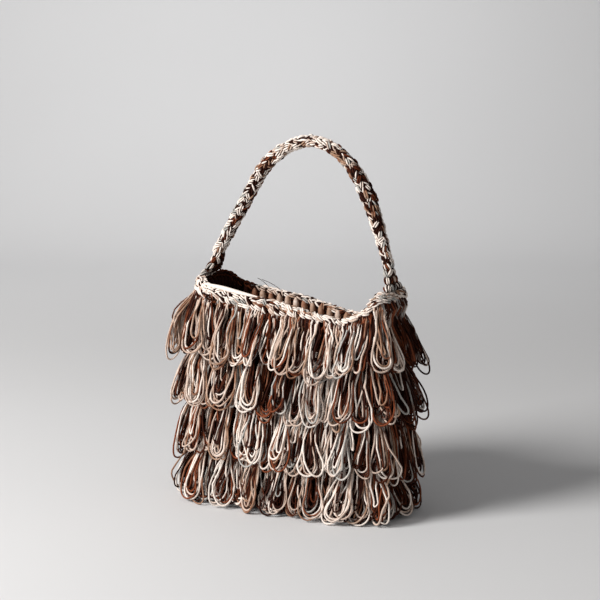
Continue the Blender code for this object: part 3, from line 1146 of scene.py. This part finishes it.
def make_rim(sizes):
    """The rim band: a core dark as painted shade for the gaps between its stitches, rows of doubled leaning
    stitches over it, and a cord on its edge.
    """
    rng = random.Random(sizes.seed + 1)
    rings = []
    for i in range(RIM_STATIONS):
        station = i / RIM_STATIONS
        full = rim_fullness(station)
        rings.append([rim_spot(station, out, share * full)[0] for out, share in RIM_CORE])
    core = add_piece("rim_core", loft(rings, loop=True), material_named("close_crochet_painted_shade"))
    stitches = Stitches()
    count = round(WALL_GIRTH / RIM_PITCH)
    for row, (out, wide_share, narrow_share, facing_up, lean) in enumerate(RIM_ROWS):
        run = DYE["c"]
        for i in range(count):
            station = (i + row % 2 / 2 + rng.uniform(-RIM_SHIFT, RIM_SHIFT)) / count
            to_right = eased(wall_point(station, MOUTH_HEIGHT)[0].x, 0.0, RIM_RIGHT)
            share = mix(wide_share, narrow_share, rim_narrowness(station)) * rim_fullness(station)
            spot, outward = rim_spot(station, out, share + rng.uniform(-RIM_RISE, RIM_RISE))
            before, after = (rim_spot(station + step, out, share)[0] for step in (-RIM_LOOK, RIM_LOOK))
            ahead = (after - before).normalized()
            facing = outward * (1 if out > INWARD else -1) + UP * facing_up
            rise = facing.cross(ahead).normalized()
            angle = math.radians(lean * (1 - RIM_UPRIGHT * to_right) + rng.gauss(0, RIM_LEAN_SPREAD))
            lying = ahead * math.cos(angle) + rise * math.sin(angle)
            if rng.random() < RIM_RUN_CHANCE:
                run = DYE[rng.choice(RIM_RUN)]
            dyes = [run + rng.uniform(-RIM_DYE_SPREAD, RIM_DYE_SPREAD) for _ in range(2)]
            if rng.random() < RIM_ODD_CHANCE[0] + RIM_ODD_CHANCE[1] * to_right:
                dyes[rng.randrange(2)] = DYE[rng.choice(RIM_ODD)]
            # Inner rows of the left end take dark dyes, as painted shade
            inner = out < INWARD or (out < SEEN_INSIDE[0] and station < SEEN_INSIDE[1])
            if inner and in_painted_shade_left_end(station):
                dyes = [DYE["d"], DYE["b"]]
            gap = sizes.stitch_thickness * RIM_GAP
            stitches.add_pair(spot, facing, lying, dyes, gap, rng.uniform(*RIM_FULLNESS))
    cotton = material_named("dyed_cotton_yarn")
    shape = (sizes.stitch_length, sizes.stitch_thickness, RIM_ARCH, RIM_SEED)
    return core, stitches.make("rim_stitches", *shape, cotton), make_edge_cord(cotton)


def make_edge_cord(material):
    """The thicker cord on the front edge, and the loose yarn ends at the back."""
    edge = Yarns()
    points = []
    for i in range(CORD_STEPS + 1):
        station = mix(*RIM_CORD, i / CORD_STEPS)
        points.append(rim_spot(station, CORD_OUT, 1.0)[0] + UP * CORD_RISE)
    edge.add(points, DYE["c"] + CORD_PALER, tapered=True)
    for station, run, rise in LOOSE_ENDS:
        points = []
        for i in range(LOOSE_END_STEPS + 1):
            t = i / LOOSE_END_STEPS
            spot = rim_spot(station + run * t, LOOSE_END_OUT, 1.0)[0]
            points.append(spot + UP * (rise * t * (LOOSE_END_START - LOOSE_END_CURVE * t)))
        edge.add(points, DYE["d"], LOOSE_END_SIZE)
    return edge.make("rim_edge_cord", CORD_DIAMETER, CORD_SIDES, material)


# ---- Strap ----

CORE_SIZE = 0.80
CORE_SIDES = 16
STRAP_COLUMNS = 4
STRAP_ROWS = 62
STRAP_SHIFT = 0.12  # of a row
STITCH_HALF_TURN = 21  # degrees round the strap from a column's middle to either leg of its stitches
STITCH_TURN_SPREAD = 5
STITCH_DEPTH = (0.84, 0.11)  # share of the strap's section at which the stitches lie, and its spread
STITCH_LEAN = 26
STITCH_LEAN_SPREAD = 15
STRAP_GAP = 0.0023
STITCH_FULLNESS = (0.74, 1.10)
STITCH_SHAPE = (0.0084, 0.0018, 0.0012, 7)  # length, thickness, arch, seed
GUSSETS = ((0.5, 1), (0.0, -1))  # station, which way round its foot's points go
GUSSET_ROWS = 4
GUSSET_SIDES = 48
GUSSET_END = 0.9  # of the strap's section


def strap_place(centres, way):
    """Centre, direction ahead and upward direction at a share of the strap's length."""
    at = way * (len(centres) - 1)
    k = min(int(at), len(centres) - 2)
    centre = centres[k].lerp(centres[k + 1], at - k)
    ahead = strap_ahead(centres, k).lerp(strap_ahead(centres, k + 1), at - k).normalized()
    return centre, ahead, Vector((-ahead.z, 0, ahead.x))


def make_strap(sizes):
    """The strap: a core dark as painted shade for the gaps between its stitches, four columns of chain
    stitches, and a fan of stitches on each gusset.
    """
    rng = random.Random(sizes.seed + 2)
    centres = strap_centres()
    rings = [strap_ring(centres, k, CORE_SIZE, CORE_SIDES) for k in range(len(centres))]
    feet = []
    for (station, turn), end in zip(GUSSETS, (rings[0], rings[-1])):
        foot = gusset_ring(station, turn, CORE_SIZE, CORE_SIDES)
        feet.append([blend_rings(foot, end, i / GUSSET_ROWS) for i in range(GUSSET_ROWS)])
    core = loft(feet[0] + rings + feet[1][::-1])
    core = add_piece("strap_core", core, material_named("close_crochet_painted_shade"))
    stitches = Stitches()
    for row in range(STRAP_ROWS):
        for column in range(STRAP_COLUMNS):
            middle = 360 * (column + 0.5) / STRAP_COLUMNS
            way = (row + 0.5 * (column % 2) + rng.uniform(-STRAP_SHIFT, STRAP_SHIFT)) / (STRAP_ROWS - 0.5)
            way = min(max(way, 0.0), 1.0)
            centre, ahead, upward = strap_place(centres, way)
            for leg in (-1, 1):
                turned = rng.uniform(-STITCH_TURN_SPREAD, STITCH_TURN_SPREAD)
                angle = math.radians(middle + leg * STITCH_HALF_TURN + turned)
                across = Vector((0, -math.cos(angle), 0))
                in_plane = upward * math.sin(angle)
                depth, spread = STITCH_DEPTH
                out = smooth_value(STRAP_FULLNESS, way) * (depth + rng.uniform(-spread, spread))
                spot = centre + (across * STRAP_HALF_WIDTH + in_plane * STRAP_HALF_THICKNESS) * out
                facing = across / STRAP_HALF_WIDTH + in_plane / STRAP_HALF_THICKNESS
                around = (Vector((0, math.sin(angle), 0)) + upward * math.cos(angle)).normalized()
                lean = math.radians(STITCH_LEAN + rng.gauss(0, STITCH_LEAN_SPREAD))
                lying = ahead * math.cos(lean) + around * leg * math.sin(lean)
                dyes = strap_dyes(way, column, rng)
                fullness = rng.uniform(*STITCH_FULLNESS)
                stitches.add_pair(spot, facing.normalized(), lying, dyes, STRAP_GAP, fullness)
    for (station, turn), k in zip(GUSSETS, (0, len(centres) - 1)):
        foot = gusset_ring(station, turn, 1.0, GUSSET_SIDES)
        add_gusset_stitches(stitches, foot, strap_ring(centres, k, GUSSET_END, GUSSET_SIDES), rng)
    return core, stitches.make("strap_stitches", *STITCH_SHAPE, material_named("dyed_cotton_yarn"))


STRAP_DYES = (
    # share of the strap's length, dyes that its columns are worked in, the column nearest the front first
    (0.08, ("cccp", "cccp", "ccd", "cccp")),
    (0.17, ("gcdc", "cccg", "dtc", "ccbd")),
    (0.34, ("ccpgct", "cccpt", "cbr", "ccdc")),
    (0.42, ("cprct", "ccct", "cbb", "ccrt")),
    (0.58, ("cccp", "cccc", "ccp", "cccpt")),
    (0.72, ("pcbtcd", "cpbd", "btcd", "dbtc")),
    (0.86, ("ctbcg", "ccbd", "dbc", "dgtc")),
    (1.01, ("cccd", "cccc", "bcd", "ccdp")),
)


ODD_DARK = 0.28  # chance that a strap stitch's second strand is dark
ODD_ANY = 0.5  # and that it is dark or another odd one
GUSSET_PITCH = 0.0058
GUSSET_LEAST = 7  # stitches round the gusset
GUSSET_LEAN = 24
GUSSET_LEAN_SPREAD = 12
GUSSET_ODD = 0.25
GUSSET_GAP = 0.0021
GUSSET_FULLNESS = (0.85, 1.05)
GUSSET_PAINTED_SHADE_FROM = -0.002  # y from which the left gusset's inner face takes dark dyes, as painted shade


def strap_dyes(share, column, rng):
    """The colours of a strap stitch's two strands: sections along the strap, and odd strands between."""
    columns = next(columns for end, columns in STRAP_DYES if share <= end or end > 1)
    first = DYE[rng.choice(columns[column])] + rng.uniform(-DYE_SPREAD, DYE_SPREAD)
    chance = rng.random()
    if chance < ODD_DARK:
        return first, DYE[rng.choice("dddb")]
    if chance < ODD_ANY:
        return first, DYE[rng.choice("ccptg")]
    return first, first + rng.uniform(-STITCH_DYE_SPREAD, STITCH_DYE_SPREAD)


def add_gusset_stitches(stitches, foot, end, rng):
    """Rows of doubled stitches between a gusset's foot and the strap, leaning by turns."""
    sides = len(foot)
    for row in range(GUSSET_ROWS):
        share = (row + 0.5) / GUSSET_ROWS
        here, above = blend_rings(foot, end, share), blend_rings(foot, end, share + 0.5 / GUSSET_ROWS)
        centre = sum(here, Vector()) / sides
        around = [here[(i + 1) % sides] - here[i - 1] for i in range(sides)]
        facings = [around[i].cross(above[i] - here[i]) for i in range(sides)]
        turn = 1 if sum(facings[i].dot(here[i] - centre) for i in range(sides)) > 0 else -1
        reached = [0.0]
        for i in range(sides):
            reached.append(reached[-1] + (here[(i + 1) % sides] - here[i]).length)
        count = max(round(reached[-1] / GUSSET_PITCH), GUSSET_LEAST)
        for n in range(count):
            goal = reached[-1] * (n + 0.5 * (row % 2)) / count
            at = max(i for i in range(sides) if reached[i] <= goal)
            facing = facings[at].normalized() * turn
            rise = (above[at] - here[at]).normalized()
            side = 1 if n % 2 else -1
            lean = math.radians(side * GUSSET_LEAN + rng.gauss(0, GUSSET_LEAN_SPREAD))
            lying = rise * math.cos(lean) + around[at].normalized() * math.sin(lean)
            first = DYE[rng.choice("cccccpgb")] + rng.uniform(-STITCH_DYE_SPREAD, STITCH_DYE_SPREAD)
            second = DYE[rng.choice("bdr")] if rng.random() < GUSSET_ODD else first
            # The back half of the left gusset's inner face takes dark dyes, as painted shade
            if facing.x > 0 and here[at].x < 0 and here[at].y > GUSSET_PAINTED_SHADE_FROM:
                first, second = DYE["d"], DYE[rng.choice("db")]
            dyes = (first, second)
            stitches.add_pair(here[at], facing, lying, dyes, GUSSET_GAP, rng.uniform(*GUSSET_FULLNESS))


# ---- Fringe ----


TIER_SEED = 10
CURL_DEPTHS = (-0.001, 0.003)
LEG_BULGE = 0.25
END_FACING = 0.1  # height at which the wall's facing tells how far a bundle is on a narrow end
END_SIDES = (0.45, 0.5)  # share of that facing that is sideways, from which a bundle starts to turn
TWIST_GROWTH = 1.2  # a loop's turn is full at 1 / 1.2 of the way down
DEPTH_GROWTH = 2.5  # and its distance from the bundle's middle at 1 / 2.5
END_IN_TOP = 1.3  # how far in the loops of the narrow ends hang at first, and how much less at the end
END_IN_LESS = 0.9
PUFF_SPAN = 1.1
TWISTED_OUT = 0.7  # how much of a turned loop's width lies outwards
WAVE_TURNS = (5, 12, 6, 9)  # radians down the loop: a wave along the wall, a finer one, one outwards, a last
FINE_WAVE = 0.6  # height of the finer wave, by the first's
CLEARANCE_WAVE = 0.0008
SWAY_TURN = 4
OVER_STRIP = 0.0040  # length over which a loop comes out of the work and over its strip
ROOT_CLEARANCE = 0.0008
BELOW_STRIP = 0.0015
WALL_CLEARANCE = 0.0006
STRIP_STEPS = 144
STRIP_BEVEL = 0.0008
HITCHES = (-0.0052, 0.0034)  # places along the strip, from the bundle's middle
HITCH_RISES = (0.2, 0.8)
HITCH_SHIFT = 0.0008
HITCH_OUT = 0.0021
HITCH_LEAN = 0.35
HITCH_GAP = 0.0021
HITCH_ODD = 0.5  # chance that one strand of a pair is odd
HITCH_FULLNESS = (0.8, 1.05)
HITCH_SHAPE = (0.0090, 0.0020, 0.0008)  # length, thickness, arch
HITCH_SEED = 9


def half_loop(u, root, bend, belly):
    """Share down and share across on one side of a loop, from its root at 0 to its lowest point at 1.

    root is the share across at the root, bend the share of the length that is the round bottom, and
    belly is how low down the side the loop gets wide.
    """
    if u < LEG_SHARE:
        t = u / LEG_SHARE
        return t * (1 - bend), mix(root, 1.0, t ** belly * (1 + LEG_BULGE * math.sin(math.pi * t)))
    turn = (u - LEG_SHARE) / (1 - LEG_SHARE) * math.pi / 2
    return (1 - bend) + bend * math.sin(turn), math.cos(turn)


def loop_form(left_root, right_root, bend, belly):
    """The whole loop as rows of share down and share across, from root to root."""
    steps = [LEG_SHARE * i / LEG_STEPS for i in range(LEG_STEPS)]
    steps += [LEG_SHARE + (1 - LEG_SHARE) * i / BEND_STEPS for i in range(BEND_STEPS)]
    left = [half_loop(u, left_root, bend, belly) for u in steps]
    right = [half_loop(u, right_root, bend, belly) for u in steps]
    return [(down, -across) for down, across in left] + [(1.0, 0.0)] + right[::-1]


class Bundle:
    """A bundle of loops that share one root: its place, its size and how it hangs."""

    def __init__(self, tier_number, number, form_rng, rng):
        """form_rng gives the spread that the bundle's solid has too, and rng the rest."""
        _, root, root_share, end, end_share, self.out_end, rests = TIERS[tier_number]
        self.hang = TIER_HANGS[tier_number]
        self.station = (number + 0.5 + form_rng.uniform(-SHIFT_SPREAD, SHIFT_SPREAD)) / LOOPS_PER_TIER
        self.far = number % 2
        self.top = tier_height(self.station, root, root_share) - STRIP_HEIGHT + ROOT_SINK
        self.full = self.top - tier_height(self.station, end, end_share)
        self.reach = self.full + (0.0 if rests else form_rng.uniform(-LENGTH_SPREAD, LENGTH_SPREAD))
        self.half_width = LOOP_HALF_WIDTH * form_rng.uniform(1 - WIDTH_SPREAD, 1 + WIDTH_SPREAD)
        self.lean = form_rng.uniform(-LEAN_SPREAD, LEAN_SPREAD)
        self.half_width *= (FAR_WIDENING if self.far else 1.0) * rng.uniform(*BUNDLE_WIDTHS)
        self.half_width *= self.hang.breadth
        self.lift = ROOT_LIFT
        if not tier_number:
            self.lift = ROOT_LIFT_INTO_RIM + RIM_NARROWING * rim_narrowness(self.station)
        # On the narrow ends the bundles hang turned, so that their loops show from the front.
        side = wall_point(self.station, END_FACING)[1].x
        end_on = eased(abs(side), *END_SIDES)
        self.twist = rng.gauss(0, BUNDLE_TWIST) + end_on * END_TWIST
        self.in_more = end_on * (self.hang.right_in if side > 0 else self.hang.left_in)
        self.reach += end_on * self.hang.end_longer
        self.puff = end_on * self.hang.left_puff if side < 0 else 0.0
        self.flare = self.hang.flare + end_on * self.hang.end_flare
        self.sway = rng.uniform(0, 2 * math.pi)
        # Loops behind take dark dyes as painted shade, less often on the left end
        self.painted_shade_chance = PAINTED_SHADE_DYE_CHANCE - (LESS_PAINTED_SHADE_AT_LEFT_END * end_on if side < 0 else 0.0)


def shown_dye(letter, number, width_share, rng):
    """The dye of one shown loop, in a bundle whose own length of the yarn has that letter."""
    # The right end's bundles have fewer pale loops, as painted shade
    pale_chance = PAINTED_SHADE_PALE_CHANCE if number in PAINTED_SHADE_RIGHT_END else PALE_CHANCE
    pick = rng.choice(PALE) if rng.random() < pale_chance else letter
    if pick == letter and rng.random() < MIXED_CHANCE:
        pick = rng.choice(MIXED)
    if width_share < DARK_HEART and number % 3:
        pick = "bd"[number % 2]
    return DYE[pick] + rng.gauss(0, DYE_SPREAD)


def make_tier(tier_number, form_rng, sizes):
    """One tier: bundles of nested loops, and the strip that they hang from."""
    rng = random.Random(sizes.seed + TIER_SEED + tier_number)
    letters = TIER_DYES[tier_number]
    yarns = Yarns()
    hitches = Stitches()
    for number in range(LOOPS_PER_TIER):
        bundle = Bundle(tier_number, number, form_rng, rng)
        # The right end's bundles take darker dyes, as painted shade
        letter = PAINTED_SHADE_RIGHT_END.get(number, letters[number % len(letters)])
        for place in SHOWN_LOOPS:
            dye = shown_dye(letter, number, place[0], rng)
            yarns.add(hanging_loop(bundle, place, rng, sizes), dye, rng.uniform(*LOOP_FULLNESS))
        for stray_tier, stray_number, *place, pick in STRAYS:
            if (stray_tier, stray_number) == (tier_number + 1, number):
                yarns.add(hanging_loop(bundle, place, rng, sizes), DYE[pick])
        if rng.random() < bundle.hang.curls:
            width, rise = rng.uniform(*CURL_WIDTHS), bundle.reach * rng.uniform(*CURL_RISES)
            line = hanging_loop(bundle, (width, rise, rng.uniform(*CURL_DEPTHS)), rng, sizes)
            yarns.add(line, DYE[rng.choice(PALE)])
        for width, rise, depth in INNER_LOOPS:
            # Loops behind mostly take dark dyes, as painted shade between the strands
            pick = rng.choice(BEHIND_SHADE_DYES) if rng.random() < bundle.painted_shade_chance else letter
            line = hanging_loop(bundle, (width, rise * bundle.hang.inner_rise, depth), rng, sizes)
            yarns.add(line, DYE[pick] + rng.gauss(0, DYE_SPREAD))
        if tier_number:
            add_hitches(hitches, bundle, letter, rng)
    cotton = material_named("dyed_cotton_yarn")
    loops = yarns.make(f"fringe_yarn_{tier_number + 1}", sizes.yarn, sizes.yarn_sides, cotton)
    band = make_strip(tier_number)
    if not tier_number:
        return loops, band
    shape = (*HITCH_SHAPE, HITCH_SEED + tier_number)
    return loops, joined(band, hitches.make(f"fringe_hitches_{tier_number + 1}", *shape, cotton))


def hanging_loop(bundle, place, rng, sizes):
    """The line of one loop of yarn, from its root over the strip, down, round and up again."""
    width_share, rise, depth = place
    radius = sizes.yarn / 2
    width = bundle.half_width * width_share * rng.uniform(*LOOP_WIDTHS)
    length = bundle.reach - rise - rng.uniform(0.0, bundle.hang.play) - radius
    bend = min(width * rng.uniform(*LOOP_BENDS) / length, LONGEST_BEND)
    twist = bundle.twist + rng.gauss(0, LOOP_TWIST)
    starts = [rng.uniform(0, 2 * math.pi) for _ in WAVE_TURNS]
    size = rng.uniform(*LOOP_WAVES)
    skew = rng.gauss(0, CROSSING_SKEW if rng.random() < bundle.hang.crossing else LOOP_SKEW)
    shift = rng.gauss(0, LOOP_SHIFT)
    neck = bundle.half_width * bundle.hang.neck
    roots = [rng.uniform(*ROOT_PLACES) * neck / width for _ in range(2)]
    belly = rng.uniform(*LOOP_BELLIES) * bundle.hang.belly
    points = []
    for down, across in loop_form(roots[0], roots[1], bend, belly):
        drop = down * (length + bundle.lift) - bundle.lift
        turn = twist * smooth_step(down * TWIST_GROWTH)
        grown = smooth_step(down * DEPTH_GROWTH)
        waves = [math.sin(turns * down + start) for turns, start in zip(WAVE_TURNS, starts)]
        along = across * width * math.cos(turn) + bundle.lean * down + skew * down * down + shift
        along += size * waves[0] + FINE_WAVE * size * waves[1]
        along += BUNDLE_WAVE * down * math.sin(SWAY_TURN * down + bundle.sway)
        out = loop_out(max(drop, 0.0) / bundle.full, bundle.out_end, bundle.far)
        out += depth * grown + bundle.flare * down
        out -= bundle.in_more * grown * (END_IN_TOP - END_IN_LESS * down)
        out += bundle.puff * math.sin(math.pi * min(down * PUFF_SPAN, 1.0))
        out += across * width * math.sin(turn) * TWISTED_OUT + size * waves[2]
        # The loop comes out of the work above, over the strip and down, clear of strip and wall.
        risen = smooth_step((drop + bundle.lift) / OVER_STRIP)
        clear = WALL_CLEARANCE + radius
        if drop < BELOW_STRIP:
            clear = mix(ROOT_CLEARANCE, STRIP_OUT + radius, risen)
        out = max(out * risen, clear + CLEARANCE_WAVE * waves[3])
        height = max(bundle.top - drop, radius + GAP)
        points.append(wall_point(bundle.station + along / GIRTH, height, out)[0])
    return points


def add_hitches(hitches, bundle, letter, rng):
    """The slanting turns of yarn by which a bundle is hitched to its strip."""
    for across in HITCHES:
        height = bundle.top + bundle.lift * rng.uniform(*HITCH_RISES)
        station = bundle.station + (across + rng.uniform(-HITCH_SHIFT, HITCH_SHIFT)) / GIRTH
        spot, outward = wall_point(station, height, STRIP_OUT + HITCH_OUT)
        lying = UP + UP.cross(outward) * rng.gauss(0, HITCH_LEAN)
        first = DYE[rng.choice("ddc" + letter)] + rng.uniform(-DYE_SPREAD, DYE_SPREAD)
        second = DYE[rng.choice("bdr")] if rng.random() < HITCH_ODD else first
        fullness = rng.uniform(*HITCH_FULLNESS)
        hitches.add_pair(spot, outward, lying, (first, second), HITCH_GAP, fullness)


def make_strip(tier_number):
    """The narrow crocheted strip that a tier's bundles hang from."""
    root, root_share = TIERS[tier_number][1:3]
    corners = (
        (STRIP_IN, 0),
        (STRIP_OUT, STRIP_BEVEL),
        (STRIP_OUT, STRIP_HEIGHT - STRIP_BEVEL),
        (STRIP_IN, STRIP_HEIGHT),
    )
    rings = []
    for i in range(STRIP_STEPS):
        station = i / STRIP_STEPS
        top = tier_height(station, root, root_share)
        rings.append([wall_point(station, top - down, out)[0] for out, down in corners])
    material = material_named("close_crochet_brown")
    return add_piece(f"fringe_band_{tier_number + 1}", loft(rings, loop=True), material)


def joined(first, second):
    """Both pieces as one, under the first one's name. Each face keeps its finish."""
    with bpy.context.temp_override(active_object=first, selected_editable_objects=[first, second]):
        bpy.ops.object.join()
    return first


# ---- Stage ----

FLOOR_FRONT = 14.0
FLOOR_BACK = 1.6
SWEEP_RADIUS = 0.9
SWEEP_TOP = 3.2
SWEEP_HALF_WIDTH = 14.0
SWEEP_STEPS = 16
LIGHTS = (
    # name, place and aim as (right, away, up) from under the bag's middle, size, watts, colour, spread
    ("key", (-1.88, -1.00, 1.36), (0, 0, 0.15), 1.0, 85.0, (1.0, 0.985, 0.965), 180),
    ("backdrop", (-0.1, 1.2, 1.6), (-0.1, 2.4, 0.1), 1.2, 3.7, (0.98, 0.99, 1.0), 105),
)
SKY_COLOUR = "#ecebea"
SKY_STRENGTH = 0.29
SENSOR_WIDTH = 36.0


def view_axes():
    """Directions to the camera's right and, level, from the camera to the bag."""
    turn = math.radians(CAMERA_AZIMUTH)
    return Vector((math.cos(turn), math.sin(turn), 0)), Vector((-math.sin(turn), math.cos(turn), 0))


def make_sweep():
    """Floor and backdrop in one sweep of paper, square to the camera."""
    right, away = view_axes()
    line = [(-FLOOR_FRONT, 0.0), (0.0, 0.0), (FLOOR_BACK, 0.0)]
    for i in range(1, SWEEP_STEPS + 1):
        turn = math.pi / 2 * i / SWEEP_STEPS
        line.append((FLOOR_BACK + SWEEP_RADIUS * math.sin(turn), SWEEP_RADIUS * (1 - math.cos(turn))))
    line.append((FLOOR_BACK + SWEEP_RADIUS, SWEEP_TOP))
    bm = bmesh.new()
    rows = []
    for distance, height in line:
        middle = away * distance + UP * height
        rows.append([bm.verts.new(middle + right * side * SWEEP_HALF_WIDTH) for side in (-1, 1)])
    for a, b in zip(rows, rows[1:]):
        bm.faces.new((a[0], a[1], b[1], b[0]))
    sweep = add_piece("studio_sweep", bm, material_named("studio_paper"))


def add_light(name, spot, aim, size, power, colour, spread):
    lamp = bpy.data.lights.new(name, "AREA")
    lamp.shape = "DISK"
    lamp.size = size
    lamp.energy = power
    lamp.color = colour
    lamp.spread = math.radians(spread)
    look_from(placed_in_scene(name, lamp), spot, aim - spot)


def look_from(holder, spot, direction):
    """Puts a lamp or a camera at a spot, with its face in a direction."""
    holder.location = spot
    holder.rotation_euler = direction.to_track_quat("-Z", "Y").to_euler()


def make_stage():
    make_sweep()
    right, away = view_axes()
    for name, spot, aim, *look in LIGHTS:
        spot, aim = (right * place[0] + away * place[1] + UP * place[2] for place in (spot, aim))
        add_light(name, spot, aim, *look)
    world = bpy.data.worlds.new("studio")
    world.use_nodes = True
    sky = world.node_tree.nodes["Background"].inputs
    sky["Color"].default_value = hex_colour(SKY_COLOUR)
    sky["Strength"].default_value = SKY_STRENGTH
    bpy.context.scene.world = world
    bpy.context.scene.view_settings.view_transform = "Standard"
    lens = bpy.data.cameras.new("camera")
    lens.lens = CAMERA_LENS
    lens.sensor_width = SENSOR_WIDTH
    target = right * CAMERA_AIM_ASIDE + UP * CAMERA_AIM_HEIGHT
    tilt = math.radians(CAMERA_ELEVATION)
    back = -away * math.cos(tilt) + UP * math.sin(tilt)
    bpy.context.scene.camera = placed_in_scene("camera", lens)
    look_from(bpy.context.scene.camera, target + back * CAMERA_DISTANCE, -back)


def main():
    register()
    bpy.ops.handbag.pouch()
    bpy.ops.handbag.rim()
    bpy.ops.handbag.strap()
    bpy.ops.handbag.fringe()
    bpy.ops.handbag.stage()


if __name__ == "__main__":
    main()
